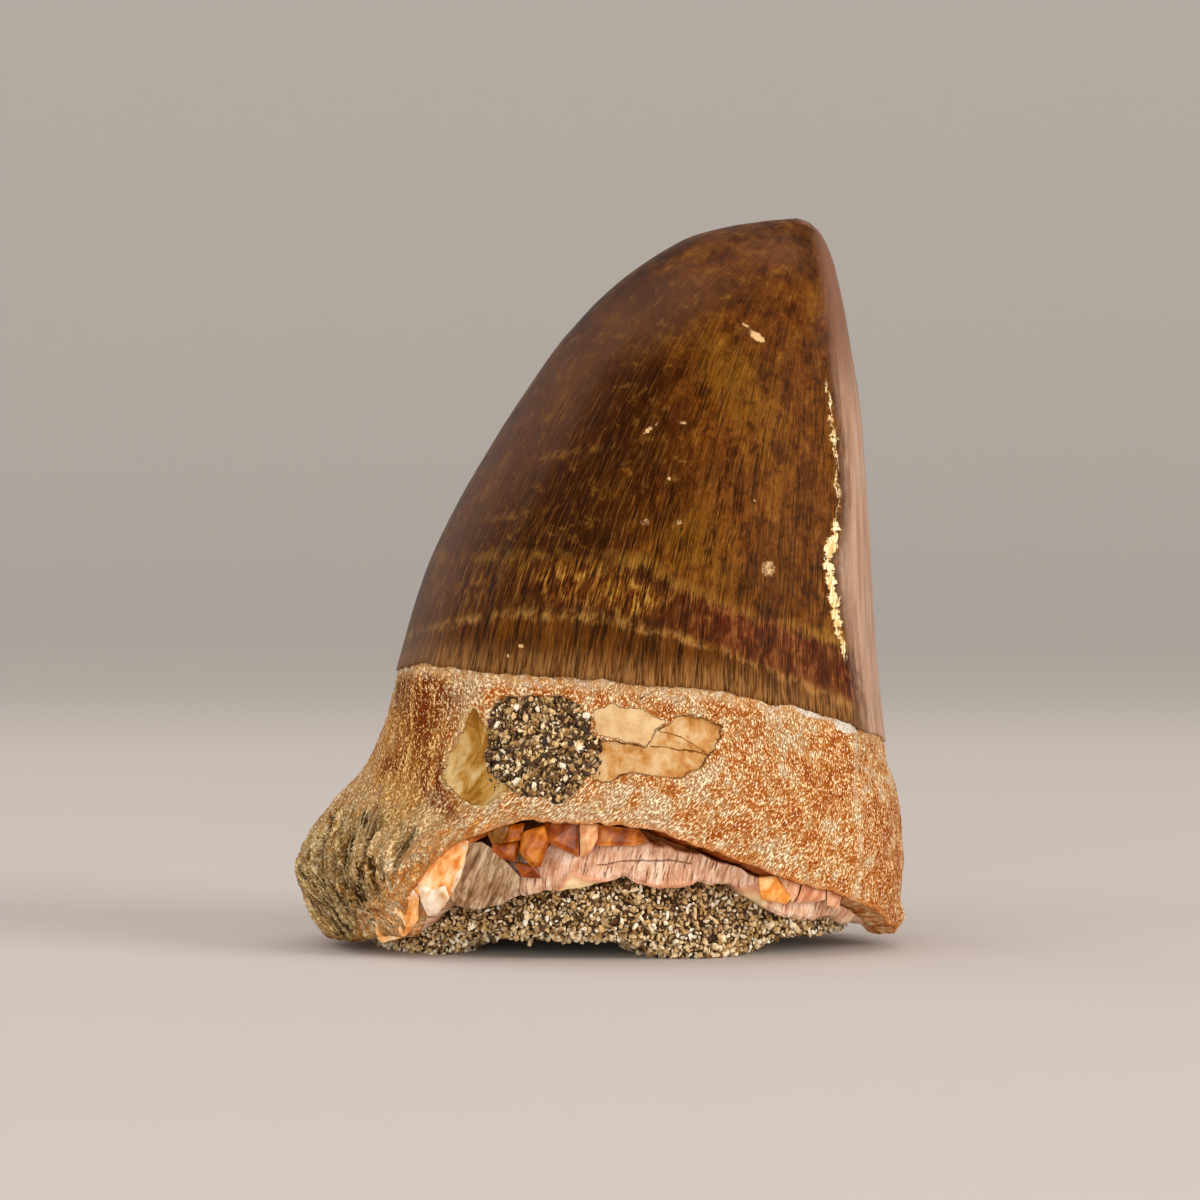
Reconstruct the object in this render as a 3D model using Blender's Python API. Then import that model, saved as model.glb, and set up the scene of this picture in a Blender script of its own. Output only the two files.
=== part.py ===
"""A fossil marine reptile's tooth that stands on its broken root, modelled at its real size.

The crown and the root are one piece. Cemented sand fills the hollow of the root and reaches out below it, and
more of it sits in an oval pit on the front. X is to the right, Y to the back and Z up. The origin is on the
surface that the tooth stands on, below the middle of the whole object.
"""

import math

import bmesh
import bpy
import numpy as np
from mathutils import Matrix, noise

MM = 0.001

# The outline seen from the front, from the tip to the broken foot. Each row is one ring of the surface:
# left x, left z, right x, right z, half of its depth.
OUTLINE = MM * np.array((
    (14.3, 53.1, 14.4, 53.1, 0.0),
    (13.2, 53.0, 15.4, 52.7, 1.0),
    (11.6, 52.8, 16.3, 51.6, 2.0),
    (9.2, 52.4, 17.0, 49.8, 3.5),
    (5.8, 51.3, 17.7, 46.8, 5.4),
    (1.5, 48.5, 18.4, 42.9, 7.5),
    (-2.7, 44.2, 19.1, 38.0, 9.4),
    (-6.8, 38.3, 19.5, 32.1, 11.2),
    (-10.3, 32.5, 19.9, 26.5, 12.7),
    (-13.0, 26.6, 20.2, 21.0, 13.9),
    (-14.8, 20.4, 20.9, 14.8, 14.9),
    (-15.9, 16.3, 21.8, 11.7, 15.6),
    (-17.4, 12.8, 22.1, 9.0, 16.2),
    (-20.1, 9.7, 22.2, 6.9, 16.5),
    (-22.2, 6.2, 22.1, 4.7, 16.2),
    (-21.2, 2.9, 21.9, 2.9, 15.6),
    (-20.0, 0.6, 21.4, 0.8, 15.2),
))
ENAMEL_RING = 10
LAST_RING = len(OUTLINE) - 1

# Directions round the tooth are degrees from +X, so -90 faces the front and 90 the back
TURNS = 72
TURN = np.radians(np.arange(TURNS) * 360 / TURNS)

CROWN_FRONT = 0.93        # the crown's front is flatter than its back, as a share of the ring's half depth
CROWN_LEAN = 1.2 * MM     # how far the tip leans to the back
KEELS = ((-30, 0.035), (-130, 0.012))  # the crown's two cutting edges: direction, share of the radius
KEEL_WIDTH = 5.0          # degrees
KEEL_START = 3            # the ring where they have their full height

# How far the enamel's lower edge stands above its ring
ENAMEL_ARCH_AT = (-180, -127, -104, -77, -52, -35, 0, 90, 180)
ENAMEL_ARCH = MM * np.array((0.0, 1.2, 1.7, 2.5, 2.1, 1.4, 0.0, 1.2, 0.0))
ENAMEL_STEP = 0.2 * MM

# Where the bony outer layer ends, and where the dentine that shows below it in the front ends
LEDGE_AT = (
    -180, -150, -134, -129, -122, -111, -103, -92, -84, -73, -60, -46, -36, -25, -12, 0, 40, 90, 140, 180,
)
LEDGE_Z = MM * np.array((
    0.9, 0.9, 1.6, 4.5, 8.4, 10.3, 10.1, 10.0, 9.6, 8.3, 6.7, 5.3, 4.3, 2.9, 1.7, 1.2, 2.2, 1.4, 2.4, 0.9,
))
DENTINE_AT = (-180, -150, -134, -128, -117, -109, -102, -91, -83, -71, -61, -49, -33, -20, -8, 0, 180)
DENTINE_Z = MM * np.array((
    1.6, 1.7, 2.2, 3.6, 3.9, 4.4, 5.1, 5.8, 5.7, 5.5, 5.0, 3.7, 2.7, 2.2, 1.8, 1.8, 1.8,
))
BREAK_AT = (-180, -137, -124, -112, -70, -45, -22, -8, 180)  # how deep the break is, as a share
BREAK_SHARE = (0.0, 0.0, 0.7, 1.0, 1.0, 0.75, 0.35, 0.0, 0.0)

# How far the broken edges wander, and how often
ENAMEL_RAGGED = 0.35 * MM
RIM_RAGGED = 0.8 * MM
RAGGED_DETAIL = 3.5

# The section from the ledge's lip to the rim of the dentine, where the front is broken away: how far in, as a
# share of the wall's thickness, and how far down. The last line is how far in the same rows are elsewhere.
BREAK_IN = (0.20, 0.56, 0.60, 0.44, 0.48, 0.56)
BREAK_DOWN = (-0.06, 0.03, 0.30, 0.36, 0.75, 1.0)
WALL_IN = (0.15, 0.32, 0.48, 0.62, 0.76, 0.88)

# The root's hollow is half an egg shape round this middle line
HOLLOW_X = 0.5 * MM
HOLLOW = MM * np.array((18.0, 13.0, 14.5))
MOUTH_RISE = 0.3 * MM     # from the rim to the hollow's mouth
GAP = 0.4 * MM

# The sand stands on two feet with a low arch between them: x, y, half sizes, depth below the arch
ARCH_HEIGHT = 1.45 * MM
FEET = (
    (6.6 * MM, 0.0, 5.2 * MM, 12.0 * MM, 2.6 * MM),
    (-12.6 * MM, -2.0 * MM, 4.2 * MM, 7.0 * MM, 2.2 * MM),
)

# Below the tooth's rim the sand slopes in, most in the front: the share of its half size that each ring has
# where the slope is full, and how high the ring is above the underside
UNDERCUT_AT = (-180, -150, -125, -60, -35, 0, 180)
UNDERCUT = (0.3, 0.6, 1.0, 1.0, 0.3, 0.1, 0.3)
SAND_MOUTH = math.radians(78)
SAND_SHARES = (0.975, 0.93, 0.87)
SAND_LIFTS = MM * np.array((1.0, 0.45, 0.1))
SAND_FLOOR_ROWS = 8

# The oval pit on the front of the root, and the lump of sand in it
PIT_X = -4.0 * MM
PIT_Z = 15.0 * MM
PIT = MM * np.array((4.2, 2.6, 4.0))
PLUG_PROUD = 0.45 * MM

# Broken chips of dentine under the ledge, each a short tapered block: x, z, half sizes, turn in degrees
CHIPS = (
    (-8.7 * MM, 8.7 * MM, (1.1, 1.0, 0.9), -70),
    (-6.9 * MM, 9.2 * MM, (1.5, 1.6, 1.2), 15),
    (-4.9 * MM, 8.1 * MM, (1.5, 1.9, 1.8), 12),
    (-6.2 * MM, 7.0 * MM, (1.3, 1.2, 1.1), -35),
    (-2.6 * MM, 8.9 * MM, (1.3, 1.2, 1.4), -20),
    (-0.8 * MM, 8.8 * MM, (0.9, 1.8, 1.5), 10),
)
CHIP_INSET = 1.8 * MM
CHIP_SIDES = 5
CHIP_TAPER = 0.6

# Low lumps on the root, and the coarse ribs that run down its flared left side
LUMP_SIZE = 5.0 * MM
LUMP_HEIGHT = 0.3 * MM
RIB_TURN = -160
RIB_SPREAD = 32.0
RIB_COUNT = 14
RIB_HEIGHT = 0.35 * MM
RIB_SLANT = 220           # how far the ribs turn on their way down, in radians per metre
RIB_TOP = 13 * MM
RIB_FADE = 5 * MM

# The small spur at the lower right corner
SPUR_TURN = -4.0
SPUR_SPREAD = 6.0
SPUR_Z = 2.1 * MM
SPUR_TALL = 0.9 * MM
SPUR_OUT = 0.6 * MM

CROWN_ROWS = 16
ROOT_ROWS = 7
HOLLOW_ROWS = 5


def between(knots, values, turn):
    """A value that changes evenly from knot to knot round the tooth."""
    return np.interp(np.degrees(turn), knots, values)


def ragged(turn, height, seed):
    """The ups and downs of a broken edge round the tooth."""
    places = [(RAGGED_DETAIL * math.cos(t), RAGGED_DETAIL * math.sin(t), seed) for t in turn]
    return height * np.array([noise.fractal(place, 1.0, 2.0, 3) for place in places])


SIDE = (TURN + math.pi) % (2 * math.pi) - math.pi
BROKEN = between(BREAK_AT, BREAK_SHARE, SIDE)
ARCH = between(ENAMEL_ARCH_AT, ENAMEL_ARCH, SIDE) + ragged(SIDE, ENAMEL_RAGGED, 1.7)
LEDGE = between(LEDGE_AT, LEDGE_Z, SIDE) + ragged(SIDE, RIM_RAGGED, 5.3) * (1 - BROKEN)
DENTINE = between(DENTINE_AT, DENTINE_Z, SIDE) + ragged(SIDE, RIM_RAGGED, 9.1)


def ring_at(step):
    """The outline at any step between its rings, on a smooth curve through them."""
    step = np.clip(np.asarray(step, float), 0, LAST_RING)
    low = np.clip(np.floor(step).astype(int), 0, LAST_RING - 1)
    t = (step - low)[..., None]
    p0 = OUTLINE[np.clip(low - 1, 0, LAST_RING)]
    p1 = OUTLINE[low]
    p2 = OUTLINE[low + 1]
    p3 = OUTLINE[np.clip(low + 2, 0, LAST_RING)]
    square = 2 * p0 - 5 * p1 + 4 * p2 - p3
    cube = 3 * p1 - p0 - 3 * p2 + p3
    return (2 * p1 + (p2 - p0) * t + square * t**2 + cube * t**3) / 2


def crown_share(step):
    """1 on the crown and 0 well down the root."""
    return np.clip((ENAMEL_RING + 2 - step) / 2, 0, 1)


def outer(step, side=SIDE):
    """Points on the unbroken outside, one for each direction."""
    step = np.broadcast_to(np.asarray(step, float), side.shape)
    ring = ring_at(step)
    left, right = ring[:, 0:2], ring[:, 2:4]
    middle, half = (left + right) / 2, (right - left) / 2
    crown = crown_share(step)
    reach = np.ones_like(side)
    for direction, height in KEELS:
        away = (np.degrees(side) - direction) / KEEL_WIDTH
        reach += height * crown * np.minimum(step / KEEL_START, 1) * np.exp(-away**2)
    across = middle + half * (np.cos(side) * reach)[:, None]
    front = np.where(np.sin(side) < 0, 1 - (1 - CROWN_FRONT) * crown, 1.0)
    lean = CROWN_LEAN * np.clip(1 - step / ENAMEL_RING, 0, 1) ** 2
    depth = ring[:, 4] * np.sin(side) * reach * front + lean
    return np.column_stack((across[:, 0], depth, across[:, 1]))


def step_at(height):
    """The step at which the outside has this height, for each direction."""
    steps = np.linspace(ENAMEL_RING - 3, LAST_RING, 140)
    heights = np.array([outer(step)[:, 2] for step in steps])
    return np.array([np.interp(-height[i], -heights[:, i], steps) for i in range(TURNS)])


def pulled_in(points, distance):
    """The points moved towards the tooth's middle line by a distance, level."""
    flat = points - np.array((HOLLOW_X, 0, 0))
    flat[:, 2] = 0
    radius = np.linalg.norm(flat, axis=1)
    share = np.broadcast_to(distance, radius.shape) / radius
    return points - flat * share[:, None]


def bony(points):
    """The root's outside with its low lumps, the ribs of the flared side and the spur."""
    push = np.array([LUMP_HEIGHT * noise.fractal(p / LUMP_SIZE, 1.0, 2.0, 2) for p in points])
    height = points[:, 2]
    away = (np.degrees(SIDE) - RIB_TURN + 180) % 360 - 180
    flare = np.exp(-((away / RIB_SPREAD) ** 2)) * np.clip((RIB_TOP - height) / RIB_FADE, 0, 1)
    push += RIB_HEIGHT * flare * np.sin(RIB_COUNT * SIDE + RIB_SLANT * height)
    corner = ((np.degrees(SIDE) - SPUR_TURN) / SPUR_SPREAD) ** 2 + ((height - SPUR_Z) / SPUR_TALL) ** 2
    push += SPUR_OUT * np.exp(-corner)
    return pulled_in(points, -push)


def hollow_row(angle, gap):
    """A level ring of the hollow, by its angle from the top, or of what fills it with a gap."""
    size = HOLLOW - gap
    angle = np.broadcast_to(angle, SIDE.shape)
    x = HOLLOW_X + size[0] * np.sin(angle) * np.cos(SIDE)
    y = size[1] * np.sin(angle) * np.sin(SIDE)
    return np.column_stack((x, y, size[2] * np.cos(angle)))


def ground_gap(x, y):
    """The height of the sand's underside: an arch with two flat feet on the ground."""
    height = np.full(np.shape(x), ARCH_HEIGHT)
    for foot_x, foot_y, half_x, half_y, depth in FEET:
        away = ((x - foot_x) / half_x) ** 2 + ((y - foot_y) / half_y) ** 2
        height = height - depth * np.exp(-(away**2))
    return np.maximum(height, 0)


def closed_loft(name, top, rows, bottom):
    """One closed body from a point, rings of points and a last point."""
    mesh = bmesh.new()
    first = mesh.verts.new(top)
    last = mesh.verts.new(bottom)
    rings = [[mesh.verts.new(p) for p in row] for row in rows]
    for i in range(TURNS):
        j = (i + 1) % TURNS
        mesh.faces.new((first, rings[0][i], rings[0][j]))
        for upper, lower in zip(rings, rings[1:]):
            mesh.faces.new((upper[i], lower[i], lower[j], upper[j]))
        mesh.faces.new((rings[-1][j], rings[-1][i], last))
    bmesh.ops.triangulate(mesh, faces=mesh.faces[:])
    bmesh.ops.recalc_face_normals(mesh, faces=mesh.faces[:])
    return as_object(name, mesh)


def as_object(name, mesh):
    """The mesh as an object of its own name."""
    data = bpy.data.meshes.new(name)
    mesh.to_mesh(data)
    mesh.free()
    data.shade_smooth()
    data.set_sharp_from_angle(angle=math.radians(35))
    return bpy.data.objects.new(name, data)


def finish(name, colour, roughness):
    """A plain material."""
    material = bpy.data.materials.new(name)
    material.use_nodes = True
    shader = material.node_tree.nodes["Principled BSDF"]
    shader.inputs["Base Color"].default_value = (*colour, 1)
    shader.inputs["Roughness"].default_value = roughness
    return material


def placed(name, mesh, centre, half_sizes, turn=0.0):
    """A shape of unit size stretched to three half sizes, turned about the front-to-back line and moved."""
    place = Matrix.Translation(centre) @ Matrix.Rotation(math.radians(turn), 4, "Y")
    bmesh.ops.transform(mesh, matrix=place @ Matrix.Diagonal((*half_sizes, 1)), verts=mesh.verts)
    return as_object(name, mesh)


def squashed_ball(name, centre, half_sizes):
    """A ball stretched to three half sizes."""
    mesh = bmesh.new()
    bmesh.ops.create_icosphere(mesh, subdivisions=3, radius=1)
    return placed(name, mesh, centre, half_sizes)


def chip(name, centre, half_sizes, turn):
    """A short block, wider at its top."""
    mesh = bmesh.new()
    bmesh.ops.create_cone(
        mesh, cap_ends=True, segments=CHIP_SIDES, radius1=CHIP_TAPER, radius2=1, depth=2,
    )
    return placed(name, mesh, centre, half_sizes, turn)


def front_surface(x, z):
    """The place on the root's unbroken outside that is seen at x and z from the front."""
    steps = np.linspace(ENAMEL_RING, LAST_RING, 400)
    rings = ring_at(steps)
    share = (x - rings[:, 0]) / (rings[:, 2] - rings[:, 0])
    heights = rings[:, 1] + share * (rings[:, 3] - rings[:, 1])
    nearest = np.argmin(np.abs(heights - z))
    side = -math.acos(2 * share[nearest] - 1)
    return outer(steps[nearest], np.array([side]))[0]


def tooth_rows():
    """The tooth's rings: down the crown and the root, in under the ledge, and up the hollow."""
    enamel = step_at(outer(ENAMEL_RING)[:, 2] + ARCH)
    rows = [outer(enamel * share) for share in np.linspace(0, 1, CROWN_ROWS + 1)[1:]]
    top = outer(enamel)[:, 2] - ENAMEL_STEP
    for share in np.linspace(0, 1, ROOT_ROWS + 1):
        height = top + (LEDGE - top) * share
        row = bony(outer(step_at(height)))
        row[:, 2] = height
        rows.append(pulled_in(row, ENAMEL_STEP * (1 - share)))
    for broken_in, wall_in, down in zip(BREAK_IN, WALL_IN, BREAK_DOWN):
        height = LEDGE + (DENTINE - LEDGE) * down
        outside = outer(step_at(np.minimum(height, LEDGE)))
        inside = hollow_row(np.arccos(height / HOLLOW[2]), 0)
        share = BROKEN * broken_in + (1 - BROKEN) * wall_in
        row = outside + (inside - outside) * share[:, None]
        row[:, 2] = height
        rows.append(row)
    mouth = np.arccos((DENTINE + MOUTH_RISE) / HOLLOW[2])
    for share in np.linspace(1, 0, HOLLOW_ROWS + 1)[:-1]:
        rows.append(hollow_row(mouth * share, 0))
    return rows


def make_tooth():
    """The crown and the root in one, with the chips under the ledge and the pit on the front."""
    top = outer(0)[0]
    tooth = closed_loft("tooth", top, tooth_rows(), (HOLLOW_X, 0, HOLLOW[2]))
    helpers = []
    for number, (x, z, half_sizes, turn) in enumerate(CHIPS, 1):
        centre = front_surface(x, z) + np.array((0, CHIP_INSET, 0))
        helpers.append((chip(f"chip_{number}", centre, MM * np.array(half_sizes), turn), "UNION"))
    helpers.append((squashed_ball("pit", front_surface(PIT_X, PIT_Z), PIT), "DIFFERENCE"))
    for helper, operation in helpers:
        cut = tooth.modifiers.new(helper.name, "BOOLEAN")
        cut.operation = operation
        cut.solver = "EXACT"
        cut.object = helper
    return tooth, [helper for helper, _ in helpers]


def make_sand_filling():
    """The sand in the root's hollow, with its visible front and its two feet."""
    shares = np.linspace(0, 1, HOLLOW_ROWS + 1)[1:]
    rows = [hollow_row(SAND_MOUTH * share, GAP) for share in shares]
    foot = hollow_row(math.pi / 2, GAP)
    middle = np.array((HOLLOW_X, 0, 0))
    undercut = between(UNDERCUT_AT, UNDERCUT, SIDE)
    for share, lift in zip(SAND_SHARES, SAND_LIFTS):
        row = middle + (foot - middle) * (1 - (1 - share) * undercut)[:, None]
        row[:, 2] = ground_gap(row[:, 0], row[:, 1]) + lift
        rows.append(row)
    edge = rows[-1]
    for share in np.linspace(1, 0, SAND_FLOOR_ROWS + 2)[1:-1]:
        row = middle + (edge - middle) * share
        row[:, 2] = ground_gap(row[:, 0], row[:, 1])
        rows.append(row)
    top = (HOLLOW_X, 0, (HOLLOW - GAP)[2])
    return closed_loft("sand_filling", top, rows, (HOLLOW_X, 0, ground_gap(HOLLOW_X, 0.0)))


def make_sand_plug():
    """The lump of sand in the pit, level with the root's outside."""
    centre = front_surface(PIT_X, PIT_Z)
    plug = squashed_ball("sand_plug", centre, PIT - GAP)
    for vert in plug.data.vertices:
        if vert.co.y < centre[1]:
            vert.co.y = centre[1] + (vert.co.y - centre[1]) * PLUG_PROUD / (PIT - GAP)[1]
    return plug


def main():
    for item in list(bpy.data.objects):
        bpy.data.objects.remove(item)
    parts = bpy.data.collections.new("fossil_tooth")
    shaping = bpy.data.collections.new("shaping")
    bpy.context.scene.collection.children.link(parts)
    bpy.context.scene.collection.children.link(shaping)

    tooth, helpers = make_tooth()
    made = (
        (tooth, finish("enamel_and_bone", (0.24, 0.11, 0.03), 0.35)),
        (make_sand_filling(), finish("cemented_sand", (0.30, 0.18, 0.09), 0.9)),
        (make_sand_plug(), finish("pit_sand", (0.27, 0.16, 0.08), 0.9)),
    )
    for piece, material in made:
        parts.objects.link(piece)
        piece.data.materials.append(material)
    for helper in helpers:
        shaping.objects.link(helper)
        helper.hide_render = True
        helper.display_type = "WIRE"


main()
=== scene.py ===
import math

import bpy
import numpy as np
from mathutils import Euler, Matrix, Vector, noise


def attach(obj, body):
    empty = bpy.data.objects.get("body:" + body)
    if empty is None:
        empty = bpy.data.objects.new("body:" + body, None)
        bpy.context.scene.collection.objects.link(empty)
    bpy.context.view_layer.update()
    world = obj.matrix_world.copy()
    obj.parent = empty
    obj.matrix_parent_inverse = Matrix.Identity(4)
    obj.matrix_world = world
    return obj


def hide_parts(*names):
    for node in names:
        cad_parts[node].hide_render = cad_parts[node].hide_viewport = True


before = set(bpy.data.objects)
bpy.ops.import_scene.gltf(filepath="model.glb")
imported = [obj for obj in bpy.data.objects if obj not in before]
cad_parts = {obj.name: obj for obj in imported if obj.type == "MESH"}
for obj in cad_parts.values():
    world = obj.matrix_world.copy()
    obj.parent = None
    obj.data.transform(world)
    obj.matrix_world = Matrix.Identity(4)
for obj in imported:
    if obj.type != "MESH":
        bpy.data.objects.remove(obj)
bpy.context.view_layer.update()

# The tooth stands on its broken root. X is to the right, Y to the back and Z up, and the origin is on the
# surface that it stands on. Places are in metres, and MM turns the sizes below into them.
MM = 0.001

# The outline seen from the front, from the tip to the broken foot. Each row is one ring of the surface:
# left x, left z, right x, right z, half of its depth.
OUTLINE = MM * np.array((
    (14.3, 53.1, 14.4, 53.1, 0.0),
    (13.2, 53.0, 15.4, 52.7, 1.0),
    (11.6, 52.8, 16.3, 51.6, 2.0),
    (9.2, 52.4, 17.0, 49.8, 3.5),
    (5.8, 51.3, 17.7, 46.8, 5.4),
    (1.5, 48.5, 18.4, 42.9, 7.5),
    (-2.7, 44.2, 19.1, 38.0, 9.4),
    (-6.8, 38.3, 19.5, 32.1, 11.2),
    (-10.3, 32.5, 19.9, 26.5, 12.7),
    (-13.0, 26.6, 20.2, 21.0, 13.9),
    (-14.8, 20.4, 20.9, 14.8, 14.9),
    (-15.9, 16.3, 21.8, 11.7, 15.6),
    (-17.4, 12.8, 22.1, 9.0, 16.2),
    (-20.1, 9.7, 22.2, 6.9, 16.5),
    (-22.2, 6.2, 22.1, 4.7, 16.2),
    (-21.2, 2.9, 21.9, 2.9, 15.6),
    (-20.0, 0.6, 21.4, 0.8, 15.2),
))
ENAMEL_RING = 10          # the ring at the enamel's lower edge
LAST_RING = len(OUTLINE) - 1

# Directions round the tooth are degrees from +X, so -90 faces the front and 90 the back
CROWN_FRONT = 0.93        # the crown's front is flatter than its back, as a share of the ring's half depth
CROWN_LEAN = 1.2 * MM     # how far the tip leans to the back

# The crown's two cutting edges. Heights are shares of the radius, and the front edge turns on its way down.
KEEL_HEIGHT = 0.035
KEEL_TURN_AT = (0, 5, 7, 8, 10, 12)
KEEL_TURN = (-44, -42, -38, -37, -35, -34)
BACK_KEEL_HEIGHT = 0.012
BACK_KEEL_TURN = -130
KEEL_WIDTH = 5.0          # degrees
KEEL_START = 3            # the ring where they have their full height

# How far the enamel's lower edge stands above its ring
ENAMEL_ARCH_AT = (-180, -127, -104, -77, -52, -35, 0, 90, 180)
ENAMEL_ARCH = MM * np.array((0.0, 1.2, 1.7, 2.5, 2.1, 1.4, 0.0, 1.2, 0.0))
ENAMEL_STEP = 0.2 * MM

# Where the bony outer layer ends, and where the dentine that shows below it in the front ends
LEDGE_AT = (
    -180, -150, -134, -129, -122, -111, -103, -92, -84, -73, -60, -46, -36, -25, -12, 0, 40, 90, 140, 180,
)
LEDGE_Z = MM * np.array((
    0.9, 0.9, 1.6, 4.5, 8.4, 10.3, 10.1, 10.0, 9.6, 8.3, 6.7, 5.3, 4.3, 2.9, 1.7, 1.2, 2.2, 1.4, 2.4, 0.9,
))
DENTINE_AT = (-180, -150, -134, -128, -117, -109, -102, -91, -83, -71, -61, -49, -33, -20, -8, 0, 180)
DENTINE_Z = MM * np.array((
    1.6, 1.7, 2.2, 3.6, 3.9, 4.4, 5.1, 5.8, 5.7, 5.5, 5.0, 3.7, 2.7, 2.2, 1.8, 1.8, 1.8,
))
BREAK_AT = (-180, -137, -124, -112, -70, -45, -22, -8, 180)  # how deep the break is, as a share
BREAK_SHARE = (0.0, 0.0, 0.7, 1.0, 1.0, 0.75, 0.35, 0.0, 0.0)

# How far the broken edges wander, and how deep the small nicks in them are
ENAMEL_RAGGED = 0.35 * MM
RIM_RAGGED = 0.8 * MM
RAGGED_DETAIL = 3.5
ENAMEL_NICKS = 0.12 * MM
LEDGE_NICKS = 0.16 * MM
DENTINE_NICKS = 0.2 * MM

# The hollow of the root is half a ball, stretched to these half sizes, with its mouth at the bottom
HOLLOW_X = 0.5 * MM
HOLLOW = MM * np.array((18.0, 13.0, 14.5))
MOUTH_RISE = 0.3 * MM     # how far above the broken rim the hollow's wall starts
GAP = 0.4 * MM            # between the sand and the hollow's wall

# The sand's underside arches above the ground and has two flat feet: x, y, half sizes and depth of each
ARCH_HEIGHT = 1.45 * MM
FEET = (
    (6.6 * MM, 0.0, 5.2 * MM, 12.0 * MM, 2.6 * MM),
    (-12.6 * MM, -2.0 * MM, 4.2 * MM, 7.0 * MM, 2.2 * MM),
)
# How far the sand's lower edge is drawn in, as a share
UNDERCUT_AT = (-180, -150, -125, -60, -35, 0, 180)
UNDERCUT = (0.3, 0.6, 1.0, 1.0, 0.3, 0.1, 0.3)
SAND_TOP = math.radians(28)    # where the sand's rows start and where it leaves the hollow, from straight up
SAND_MOUTH = math.radians(78)

# The oval pit in the front of the root, and its ragged edge seen from the front
PIT_X = -4.0 * MM
PIT_Z = 15.0 * MM
PIT = MM * np.array((4.2, 2.6, 4.0))
PIT_EDGE = (
    (-8.0, 17.5), (-7.8, 18.3), (-7.0, 18.7), (-5.6, 18.6), (-3.7, 18.8), (-1.8, 18.5), (-1.3, 17.8),
    (-0.7, 17.2), (-0.8, 16.5), (-0.1, 15.9), (0.0, 15.2), (-0.5, 14.6), (-0.8, 13.6), (-1.5, 12.7),
    (-2.3, 11.5), (-3.2, 11.4), (-4.0, 11.9), (-5.2, 11.8), (-6.2, 12.1), (-7.1, 13.0), (-7.6, 14.4),
    (-7.9, 15.9),
)

# The bone's broad lumps
LUMP_SIZE = 5.0 * MM
LUMP_HEIGHT = 0.3 * MM

# The small spur at the foot of the right side. Its direction and spread are in degrees.
SPUR_TURN = -4.0
SPUR_SPREAD = 6.0
SPUR_Z = 2.1 * MM
SPUR_TALL = 0.9 * MM
SPUR_OUT = 0.6 * MM

# The sheets' fineness
COLUMNS = 560
CROWN_ROWS = 160
BONE_ROWS = 140
SIDE = np.linspace(-math.pi, math.pi, COLUMNS + 1)
DEGREES = np.degrees(SIDE)

# How much the bone's fibres turn round the tooth on their way up, in radians per metre
FIBRE_TURN_AT = (-180, -158, -132, -112, -90, -60, -35, -20, 0, 90, 140, 180)
FIBRE_TURN = (-45, -60, -12, 22, 24, 22, 8, 0, 0, 4, -10, -45)
# The radii of the round tubes on which patterns that follow the bone and the crown are laid out
FIBRE_RADIUS = 19.5 * MM
CROWN_RADIUS = 17.0 * MM
FAR_OFF = 9 * MM          # stands for nowhere near


def wander(places, octaves=3):
    """Fractal noise at each place."""
    flat = places.reshape(-1, 3).tolist()
    values = [noise.fractal(place, 1.0, 2.0, octaves) for place in flat]
    return np.array(values).reshape(places.shape[:-1])


def smooth_step(value, low, high):
    """0 below low, 1 above high, and an even rise between them."""
    share = np.clip((value - low) / (high - low), 0, 1)
    return share * share * (3 - 2 * share)


def ragged(side, height, seed, detail=RAGGED_DETAIL, octaves=3):
    """The ups and downs of a broken edge round the tooth."""
    places = np.stack((detail * np.cos(side), detail * np.sin(side), np.full_like(side, seed)), -1)
    return height * wander(places, octaves)


def ring_at(step):
    """The outline at any step between its rings, on a smooth curve through them."""
    step = np.clip(step, 0, LAST_RING)
    low = np.clip(np.floor(step).astype(int), 0, LAST_RING - 1)
    t = (step - low)[..., None]
    p0 = OUTLINE[np.clip(low - 1, 0, LAST_RING)]
    p1 = OUTLINE[low]
    p2 = OUTLINE[low + 1]
    p3 = OUTLINE[np.clip(low + 2, 0, LAST_RING)]
    square = 2 * p0 - 5 * p1 + 4 * p2 - p3
    cube = 3 * p1 - p0 - 3 * p2 + p3
    return (2 * p1 + (p2 - p0) * t + square * t**2 + cube * t**3) / 2


def outer(step, side=SIDE):
    """Points on the unbroken outside, by the step down the outline and the direction."""
    step, side = np.broadcast_arrays(np.asarray(step, float), side)
    ring = ring_at(step)
    left, right = ring[..., 0:2], ring[..., 2:4]
    middle, half = (left + right) / 2, (right - left) / 2
    crown = np.clip((ENAMEL_RING + 2 - step) / 2, 0, 1)
    away = (np.degrees(side) - np.interp(step, KEEL_TURN_AT, KEEL_TURN)) / KEEL_WIDTH
    back_away = (np.degrees(side) - BACK_KEEL_TURN) / KEEL_WIDTH
    ridges = KEEL_HEIGHT * np.exp(-away**2) + BACK_KEEL_HEIGHT * np.exp(-back_away**2)
    reach = 1 + crown * np.minimum(step / KEEL_START, 1) * ridges
    across = middle + half * (np.cos(side) * reach)[..., None]
    front = np.where(np.sin(side) < 0, 1 - (1 - CROWN_FRONT) * crown, 1.0)
    lean = CROWN_LEAN * np.clip(1 - step / ENAMEL_RING, 0, 1) ** 2
    depth = ring[..., 4] * np.sin(side) * reach * front + lean
    return np.stack((across[..., 0], depth, across[..., 1]), -1)


def step_at(height):
    """The step at which the outside has each height, for rows of heights with one column a direction."""
    steps = np.linspace(ENAMEL_RING - 3, LAST_RING, 160)
    table = outer(steps[:, None])[..., 2]
    columns = [np.interp(-height[:, i], -table[:, i], steps) for i in range(len(SIDE))]
    return np.column_stack(columns)


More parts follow.
